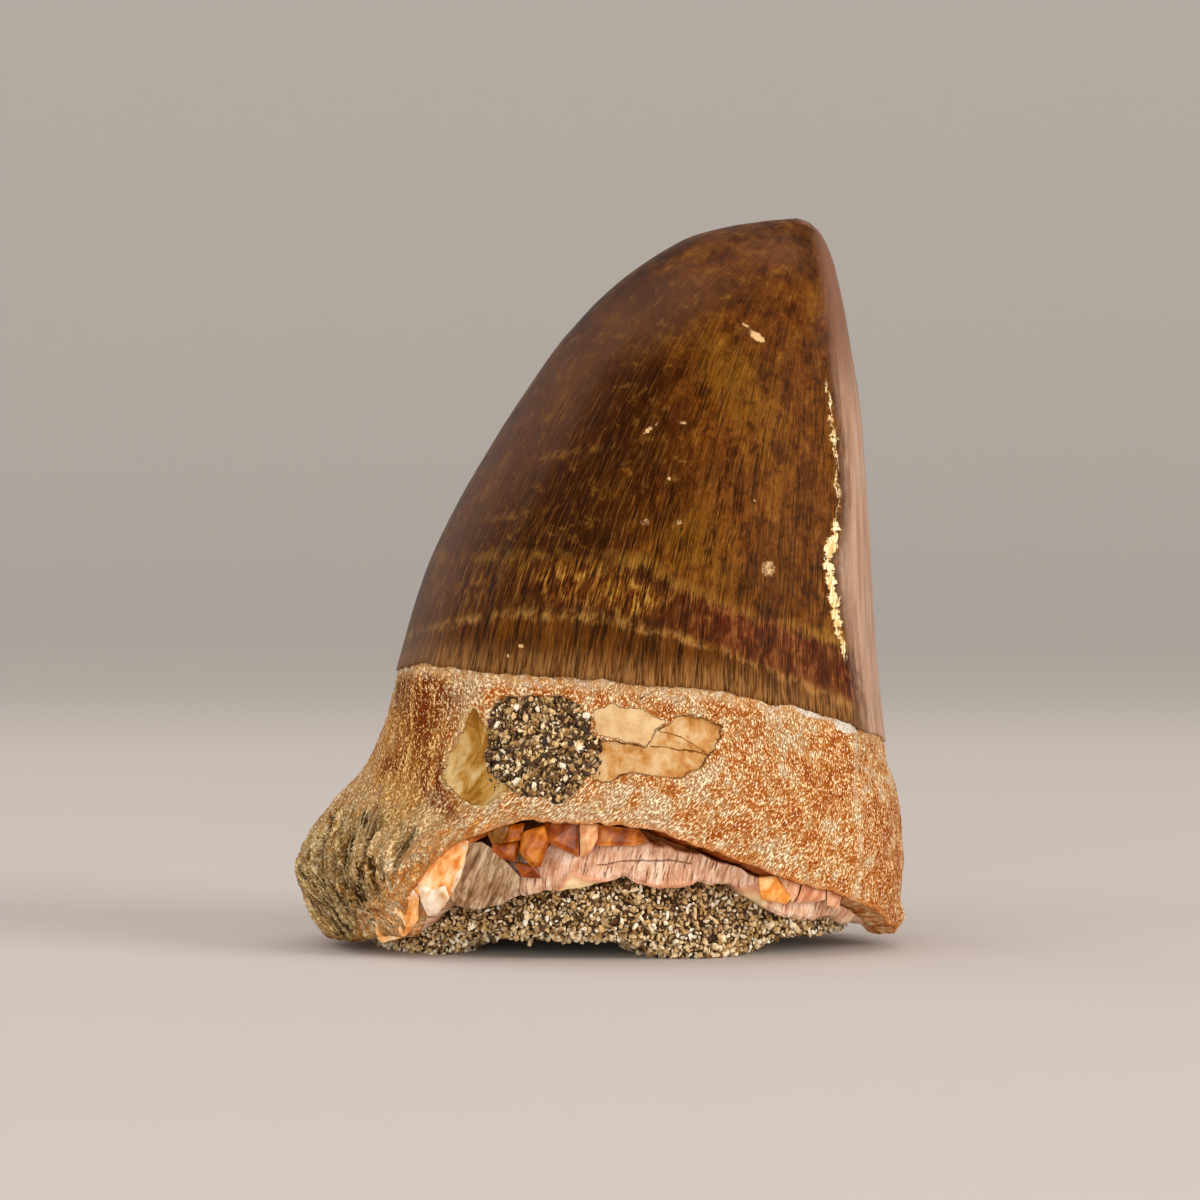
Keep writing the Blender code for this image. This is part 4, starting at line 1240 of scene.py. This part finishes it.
def shard_look(kind):
    """A broken face of dentine, glossy where it is amber coloured."""
    dark, middle, light = (srgb(*colour) for colour in SHARD_COLOURS[kind])
    look = Look("dentine_" + kind, 1.55)
    body = look.slanted(look.body(), 0.45)
    streaky = SHARD_STREAKS.get(kind, PLAIN_STREAKS)
    veil = look.cloud(body, (0.5, 0.5, 3.0) if streaky > 0.4 else (0.9, 0.9, 1.4), 3.0, 0.6, 0.3)
    fine = look.cloud(body, (0.19, 0.19, 1.6), 3.0, 0.6)
    tone = look.ramp(veil, (0.32, dark), (0.48, middle), (0.68, light))
    tone = look.mix(look.times(look.rise(fine, 0.54, 0.40), 0.7 * streaky), tone, dark)
    # Painted highlight: each chip is lighter towards its outer edge
    tone = look.mix(look.times(look.mark("edge"), 0.12), tone, light)
    normal = look.relief(fine, 0.03 + 0.05 * streaky, 0.7, look.relief(veil, 0.12, 0.25))
    gloss = 0.26 if streaky < 0.3 else 0.5
    return look.done(tone, gloss, normal, Specular_IOR_Level=0.2)


def make_shard(name, kind, inset, crest, thickness, outline, looks):
    """A chip with a broken face: its outline filled, drawn back into the wall, and faceted in front."""
    deselect()
    bpy.ops.mesh.primitive_circle_add(vertices=len(outline), radius=1, fill_type="NGON")
    piece = bpy.context.object
    piece.name = piece.data.name = name
    corners = [front_place(x, z, inset) for x, z in outline]
    jitter = [0.12 * MM * noise.noise((5 * x, 3 * z, len(name))) for x, z in outline]
    for vert, corner, off in zip(piece.data.vertices, corners, jitter):
        vert.co = corner + np.array((0, 2 * off, 0))
    bpy.ops.object.mode_set(mode="EDIT")
    bpy.ops.mesh.select_all(action="SELECT")
    bpy.ops.mesh.extrude_region_move(TRANSFORM_OT_translate={"value": (0, thickness * MM, 0)})
    bpy.ops.mesh.select_all(action="SELECT")
    bpy.ops.mesh.normals_make_consistent(inside=False)
    select_faces(piece, lambda face: face.normal.y < -0.5 and len(face.vertices) == len(outline))
    bpy.ops.mesh.inset(thickness=SHARD_INSET * MM, depth=0)
    bpy.ops.transform.translate(value=(0.08 * MM, -crest * MM, 0.05 * MM))
    bpy.ops.mesh.quads_convert_to_tris(quad_method="BEAUTY", ngon_method="BEAUTY")
    bpy.ops.mesh.select_all(action="SELECT")
    bpy.ops.mesh.bevel(offset=SHARD_BEVEL * MM, segments=2, affect="EDGES")
    rough = SHARD_ROUGH.get(kind, PLAIN_ROUGH) * MM
    bpy.ops.mesh.subdivide(number_cuts=5 if kind in SHARD_ROUGH else 2)
    bpy.ops.object.mode_set(mode="OBJECT")
    for vert in piece.data.vertices:
        knock = noise.fractal(vert.co / (1.1 * MM), 1.0, 2.0, 4)
        side = noise.fractal(vert.co / (1.3 * MM) + Vector((5, 5, 5)), 1.0, 2.0, 3)
        vert.co += Vector((side, -1.4 * knock, -side)) * rough
    deselect()
    piece.select_set(True)
    bpy.context.view_layer.objects.active = piece
    bpy.ops.object.shade_smooth_by_angle(angle=math.radians(25))
    # The edge mark places the painted highlight along each chip's outer edge
    places = np.array([v.co for v in piece.data.vertices])
    middle = np.array(corners).mean(0)
    spread = np.abs(places - middle)[:, [0, 2]].max(1)
    layer = piece.data.attributes.new("edge", "FLOAT", "POINT")
    layer.data.foreach_set("value", smooth_step(spread, 0.6 * spread.max(), spread.max()).astype(np.float32))
    piece.data.materials.append(looks[kind])
    return piece


def make_shards():
    """All the chips, those of one kind with one look."""
    looks = {kind: shard_look(kind) for kind in SHARD_COLOURS}
    return [make_shard(*row, looks) for row in SHARDS]


GRAIN_SHAPES = 7


def make_grain_shapes():
    """A few angular grains, each a ball of twenty faces knocked out of shape."""
    shapes = []
    for number in range(GRAIN_SHAPES):
        deselect()
        bpy.ops.mesh.primitive_ico_sphere_add(subdivisions=1, radius=1)
        ball = bpy.context.object
        points = np.array([v.co for v in ball.data.vertices])
        for i, point in enumerate(points):
            points[i] = point * (0.9 + 0.7 * noise.noise((3.1 * number, 1.7 * i, 0.5)))
        points *= np.array((1.35 - 0.05 * number, 0.70 + 0.05 * number, 0.55))
        faces = np.array([p.vertices[:] for p in ball.data.polygons])
        shapes.append((points, faces))
        bpy.data.objects.remove(ball)
    return shapes


def scattered(piece, count, keep, spacing, draws):
    """Places on a piece's surface and their normals, no closer together than the spacing."""
    mesh = piece.data
    mesh.calc_loop_triangles()
    corners = np.zeros(len(mesh.loop_triangles) * 3, int)
    mesh.loop_triangles.foreach_get("vertices", corners)
    points = np.zeros(len(mesh.vertices) * 3)
    mesh.vertices.foreach_get("co", points)
    triangle = points.reshape(-1, 3)[corners.reshape(-1, 3)]
    normal = np.cross(triangle[:, 1] - triangle[:, 0], triangle[:, 2] - triangle[:, 0])
    area = np.linalg.norm(normal, axis=1)
    wanted = keep(triangle.mean(1), normal / np.maximum(area, 1e-15)[:, None])
    weight = area * wanted
    chosen = draws.choice(len(weight), count, p=weight / weight.sum())
    a, b = draws.random((2, count))
    a, b = np.where(a + b > 1, 1 - a, a), np.where(a + b > 1, 1 - b, b)
    picked = triangle[chosen]
    along_one, along_other = picked[:, 1] - picked[:, 0], picked[:, 2] - picked[:, 0]
    places = picked[:, 0] + along_one * a[:, None] + along_other * b[:, None]
    taken, kept = {}, []
    for i, place in enumerate(places):
        cell = tuple((place // spacing).astype(int))
        near = (taken.get((cell[0] + dx, cell[1] + dy, cell[2] + dz), ())
                for dx in (-1, 0, 1) for dy in (-1, 0, 1) for dz in (-1, 0, 1))
        if all(np.sum((place - other) ** 2) > spacing**2 for group in near for other in group):
            taken.setdefault(cell, []).append(place)
            kept.append(i)
    normals = normal[chosen] / np.maximum(area[chosen], 1e-15)[:, None]
    return places[kept], normals[kept]


def join_grains(name, places, sizes, tones, shapes, draws):
    """One mesh of many grains, each a turned copy of one of the shapes."""
    points, faces, marks, start = [], [], [], 0
    for place, size, tone in zip(places, sizes, tones):
        shape, sides = shapes[draws.integers(len(shapes))]
        turn = np.array(Euler(draws.random(3) * 2 * math.pi).to_matrix())
        points.append(shape @ turn.T * size + place)
        faces.append(sides + start)
        marks.append(np.full(len(shape), tone))
        start += len(shape)
    points = np.concatenate(points)
    points[:, 2] = np.maximum(points[:, 2], 0.0)
    mesh = bpy.data.meshes.new(name)
    mesh.from_pydata(points.tolist(), [], np.concatenate(faces).tolist())
    layer = mesh.attributes.new("tone", "FLOAT", "POINT")
    layer.data.foreach_set("value", np.concatenate(marks).astype(np.float32))
    grains = bpy.data.objects.new(name, mesh)
    bpy.context.scene.collection.objects.link(grains)
    return grains


def grain_look():
    """Sand grains, from black through brown to cream, each of one colour."""
    look = Look("sand_grains")
    tone = look.ramp(
        look.mark("tone"),
        (0.0, srgb(42, 24, 6)), (0.12, srgb(92, 60, 24)), (0.22, srgb(154, 114, 60)),
        (0.42, srgb(204, 164, 102)), (0.62, srgb(232, 200, 144)), (0.82, srgb(248, 226, 184)),
        (1.0, srgb(255, 248, 226)),
    )
    speck = look.cloud(look.body(), 0.12, 2.0)
    tone = look.mix(look.times(look.rise(speck, 0.5, 0.35), 0.45), tone, srgb(96, 60, 30))
    clump = look.rise(look.cloud(look.body(), 0.9, 3.0, 0.6), 0.48, 0.36)
    tone = look.mix(look.times(clump, 0.6), tone, srgb(136, 108, 76), "MULTIPLY")
    return look.done(tone, 0.5, look.relief(speck, 0.03, 0.6), Specular_IOR_Level=0.35)


def cement_look():
    """The rough ground between the grains, with painted shade in its gaps."""
    look = Look("sand_cement")
    body = look.body()
    cell = look.cells(body, 0.40, "Color")
    shade = look.node("ShaderNodeSeparateColor")
    look.feed(shade.inputs[0], cell)
    tone = look.ramp(
        shade.outputs[0], (0.15, srgb(62, 38, 16)), (0.35, srgb(136, 100, 62)), (0.7, srgb(204, 170, 124)))
    gap = look.cells(body, 0.40, "Distance", "DISTANCE_TO_EDGE")
    # Painted shade: dark along the gaps between the cells
    tone = look.mix(look.rise(gap, 0.14, 0.02), tone, srgb(46, 26, 10))
    return look.done(tone, 0.85, look.relief(look.rise(gap, 0.0, 0.25), 0.15, 1.0), Specular_IOR_Level=0.2)


# The sand's lower edge curls under: share of the way out, and height above the underside in millimetres
SAND_EDGE = ((0.975, 1.0), (0.955, 0.75), (0.93, 0.45), (0.90, 0.22), (0.87, 0.1))
SAND_ROUGH = 0.16 * MM
SAND_ROUGH_SIZE = 0.55 * MM


def sand_rows():
    """Rows of the sand's outside, from inside the hollow over its front and across its underside."""
    middle = np.array((HOLLOW_X, 0, 0))
    size = HOLLOW - GAP
    rows = []
    for angle in np.linspace(SAND_TOP, SAND_MOUTH, 46):
        x = HOLLOW_X + size[0] * math.sin(angle) * np.cos(SIDE)
        y = size[1] * math.sin(angle) * np.sin(SIDE)
        rows.append(np.stack((x, y, np.full_like(x, size[2] * math.cos(angle))), -1))
    foot = np.stack((HOLLOW_X + size[0] * np.cos(SIDE), size[1] * np.sin(SIDE), 0 * SIDE), -1)
    undercut = np.interp(DEGREES, UNDERCUT_AT, UNDERCUT)
    for share, lift in SAND_EDGE:
        row = middle + (foot - middle) * (1 - (1 - share) * undercut)[:, None]
        row[:, 2] = ground_gap(row[:, 0], row[:, 1]) + lift * MM
        rows.append(row)
    edge = rows[-1]
    for share in np.linspace(1, 0, 42)[1:-1]:
        row = middle + (edge - middle) * share
        row[:, 2] = ground_gap(row[:, 0], row[:, 1])
        rows.append(row)
    return np.array(rows)


def shows_in_front(places, facing):
    """Where the sand shows below the dentine in front."""
    return (places[:, 1] < 0) & (places[:, 2] < 7.2 * MM) & (facing[:, 2] > -0.85)


def shows_below(places, facing):
    """The sand's underside, and its lower edge at the back."""
    return (places[:, 2] < 3.5 * MM) & ((places[:, 1] > 0) | (facing[:, 2] < -0.6))


# Layers of grains: name, tries, where, how far apart, and the smallest and largest radius in millimetres
GRAIN_LAYERS = (
    ("sand_filling_front", 14000, shows_in_front, 0.27 * MM, 0.13, 0.30),
    ("sand_filling_underside", 12000, shows_below, 0.40 * MM, 0.18, 0.36),
)


def make_sand(shapes, looks):
    """The sand in the root's hollow: a rough body and the grains that stand out of it."""
    rows = sand_rows()
    push = SAND_ROUGH * wander(rows / SAND_ROUGH_SIZE, 3)
    rows = rows + outward(rows) * push[..., None]
    rows[..., 2] = np.maximum(rows[..., 2], 0.0)
    top = pole(HOLLOW_X, 0, 13.5 * MM)
    closed = np.concatenate((top, rows, pole(HOLLOW_X, 0, ground_gap(HOLLOW_X, 0.0))))
    body = wrapped_sheet("sand_filling_body", closed, {})
    body.data.materials.append(looks["cement"])

    draws = np.random.default_rng(11)
    pieces = [body]
    for name, count, keep, spacing, low, high in GRAIN_LAYERS:
        places, normals = scattered(body, count, keep, spacing, draws)
        sizes = MM * (low + (high - low) * draws.random(len(places)) ** 1.6)
        places = places + normals * (sizes * (0.1 + 0.5 * draws.random(len(places))))[:, None]
        grains = join_grains(name, places, sizes, draws.random(len(places)) ** 0.7, shapes, draws)
        grains.data.materials.append(looks["grains"])
        pieces.append(grains)
    return pieces


# The plug's largest grains, in millimetres: x, z and radius
BIG_GRAINS = (
    (-0.95, 17.5, 0.48), (-7.3, 16.8, 0.34), (-1.5, 15.3, 0.38), (-4.4, 17.9, 0.30), (-5.8, 12.9, 0.36),
    (-4.6, 12.5, 0.34), (-6.9, 14.9, 0.26), (-2.6, 14.0, 0.30), (-5.9, 18.0, 0.28), (-3.0, 12.4, 0.30),
)
# How far the plug's edge lies inside the root's outside, and how much its middle rises
PLUG_SUNK = 0.42 * MM
PLUG_BULGE = 0.34 * MM
PLUG_TURNS = 72
PLUG_RINGS = 48
PLUG_ROUGH = 0.12 * MM
PLUG_ROUGH_SIZE = 0.5 * MM
PLUG_GRAIN_TRIES = 16000
PLUG_GRAIN_SPACING = 0.19 * MM


def shows_in_pit(places, facing):
    """Where the plug shows inside the pit's ragged edge."""
    return (facing[:, 1] < -0.2) & (depth_inside(places[:, 0], places[:, 2], PIT_EDGE) > 0.08 * MM)


def make_plug(shapes, looks):
    """The lump of sand in the pit: a rough lens and its grains."""
    centre = front_place(PIT_X / MM, PIT_Z / MM)
    turn, tilt = np.meshgrid(
        np.linspace(0, 2 * math.pi, PLUG_TURNS + 1), np.linspace(0, math.pi, PLUG_RINGS + 1))
    points = np.stack((np.sin(tilt) * np.cos(turn), np.sin(tilt) * np.sin(turn), np.cos(tilt)), -1)
    ring = np.hypot(points[..., 0], points[..., 2])
    corner = np.minimum(np.abs(points[..., 0]), np.abs(points[..., 2])) / np.maximum(ring, 1e-9)
    points[..., [0, 2]] *= (1 + 0.20 * corner**2)[..., None]
    points *= PIT
    seen = (points.reshape(-1, 3)[:, [0, 2]] + np.array((PIT_X, PIT_Z))) / MM
    outside = np.array([front_place(x, z)[1] for x, z in seen]).reshape(points.shape[:2])
    bulge = np.clip(1 - (points[..., 0] / PIT[0]) ** 2 - (points[..., 2] / PIT[2]) ** 2, 0, 1)
    flush = outside + PLUG_SUNK - PLUG_BULGE * bulge
    points = points + centre
    points[..., 1] = np.where(points[..., 1] < centre[1], flush, np.maximum(points[..., 1], flush))
    points[..., 1] += PLUG_ROUGH * wander(points / PLUG_ROUGH_SIZE, 2)
    body = wrapped_sheet("sand_plug_body", points, {})
    body.data.materials.append(looks["cement"])

    draws = np.random.default_rng(5)
    places, normals = scattered(body, PLUG_GRAIN_TRIES, shows_in_pit, PLUG_GRAIN_SPACING, draws)
    sizes = MM * (0.10 + 0.20 * draws.random(len(places)) ** 2.2)
    places = places + normals * (sizes * (0.2 + 0.4 * draws.random(len(places))))[:, None]
    tones = 0.90 * draws.random(len(places)) ** 1.7
    for x, z, size in BIG_GRAINS:
        places = np.concatenate((places, front_place(x, z, 0.1)[None]))
        sizes, tones = np.append(sizes, size * MM), np.append(tones, 0.93)
    grains = join_grains("sand_plug_grains", places, sizes, tones, shapes, draws)
    grains.data.materials.append(looks["grains"])
    return [body, grains]


# The photograph's view: looking along +Y and a little down, with one pixel's real size at the tooth
VIEW_DROP = math.radians(2.0)
VIEW_DISTANCE = 0.4
VIEW_CENTRE_Z = 25.2 * MM
FRAME_PIXELS = 1200
PIXEL = 0.073 * MM
SENSOR = 36


def make_camera():
    """A camera whose square frame shows what the photograph's does."""
    camera_data = bpy.data.cameras.new("camera")
    camera_data.sensor_width = SENSOR
    camera_data.lens = SENSOR * VIEW_DISTANCE / (FRAME_PIXELS * PIXEL)
    camera_data.clip_start = 0.01
    camera_data.clip_end = 20
    camera = bpy.data.objects.new("camera", camera_data)
    back, up = math.cos(VIEW_DROP), math.sin(VIEW_DROP)
    camera.location = (0, -VIEW_DISTANCE * back, VIEW_CENTRE_Z + VIEW_DISTANCE * up)
    camera.rotation_euler = (math.pi / 2 - VIEW_DROP, 0, 0)
    bpy.context.scene.collection.objects.link(camera)
    bpy.context.scene.camera = camera


# The floor: its reach to the front, where it starts to bend up, the bend's radius and the whole length
FLOOR_FRONT = 2.2
FLOOR_END = 0.35
WALL_BEND = 0.5
FLOOR_LENGTH = 5.0
FLOOR_HALF_WIDTH = 4.0


def make_stage():
    """A pale floor that curves up into a wall far behind, painted darker towards the back as painted shade."""
    deselect()
    bpy.ops.mesh.primitive_grid_add(x_subdivisions=2, y_subdivisions=90, size=2)
    stage = bpy.context.object
    stage.name = stage.data.name = "floor"
    for vert in stage.data.vertices:
        run = (vert.co.y + 1) / 2 * FLOOR_LENGTH - FLOOR_FRONT
        bend = min(max((run - FLOOR_END) / WALL_BEND, 0), math.pi / 2)
        y = min(run, FLOOR_END) + WALL_BEND * math.sin(bend)
        z = WALL_BEND * (1 - math.cos(bend)) + max(run - FLOOR_END - WALL_BEND * math.pi / 2, 0)
        vert.co = (vert.co.x * FLOOR_HALF_WIDTH, y, z)
    stage.data.shade_smooth()
    look = Look("pale_floor")
    depth = look.node("ShaderNodeSeparateXYZ")
    look.feed(depth.inputs[0], look.body())
    # Painted shade: the floor and wall are painted darker with depth, where less light falls
    tone = look.mix(look.rise(depth.outputs[1], 0.20, 0.46), srgb(210, 201, 194), srgb(178, 171, 164))
    look.shader.inputs["Specular IOR Level"].default_value = 0.1
    stage.data.materials.append(look.done(tone, 0.9))


# Soft boxes: name, place, width and height, power and colour
LIGHTS = (
    ("overhead", (0.0, -0.15, 0.95), (1.5, 1.5), 5.7, (1.0, 0.985, 0.97)),
    ("panel_front", (-0.20, -1.2, 0.16), (1.0, 0.5), 9.1, (1.0, 0.975, 0.94)),
    ("panel_left", (-0.85, -0.45, 0.45), (0.7, 0.7), 2.4, (1.0, 0.97, 0.94)),
    ("panel_right", (0.9, -0.5, 0.30), (0.6, 0.7), 9.5, (1.0, 0.97, 0.95)),
    ("edge_left", (-0.8, 0.45, 0.45), (0.5, 0.7), 1.4, (1.0, 1.0, 1.0)),
)
LIT_PLACE = (0, 0, 0.025)
WORLD_COLOUR = (0.96, 0.97, 1.0, 1)
WORLD_STRENGTH = 0.22


def make_light(name, place, size, power, colour):
    """A soft box that faces the tooth."""
    data = bpy.data.lights.new(name, "AREA")
    data.shape = "RECTANGLE"
    data.size, data.size_y = size
    data.energy = power
    data.color = colour
    light = bpy.data.objects.new(name, data)
    light.location = place
    light.rotation_euler = (Vector(LIT_PLACE) - Vector(place)).to_track_quat("-Z", "Y").to_euler()
    bpy.context.scene.collection.objects.link(light)


def make_lights():
    """The soft boxes and a dim, even world."""
    for row in LIGHTS:
        make_light(*row)
    world = bpy.data.worlds.new("studio")
    bpy.context.scene.world = world
    world.use_nodes = True
    background = world.node_tree.nodes["Background"]
    background.inputs["Color"].default_value = WORLD_COLOUR
    background.inputs["Strength"].default_value = WORLD_STRENGTH


def main():
    """The camera, the pieces in place of their solids, the stage and the light."""
    make_camera()
    tooth_pieces = [make_crown(), make_bone(), make_dentine(), *make_shards()]
    shapes = make_grain_shapes()
    looks = {"grains": grain_look(), "cement": cement_look()}
    filling = make_sand(shapes, looks)
    plug = make_plug(shapes, looks)
    for pieces, node, slot in (
        (tooth_pieces, "tooth", "tooth"),
        (filling, "sand_filling", "sand"),
        (plug, "sand_plug", "sand"),
    ):
        for piece in pieces:
            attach(piece, "root")
            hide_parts(node)
    make_stage()
    make_lights()
    bpy.context.scene.view_settings.view_transform = "Standard"


main()
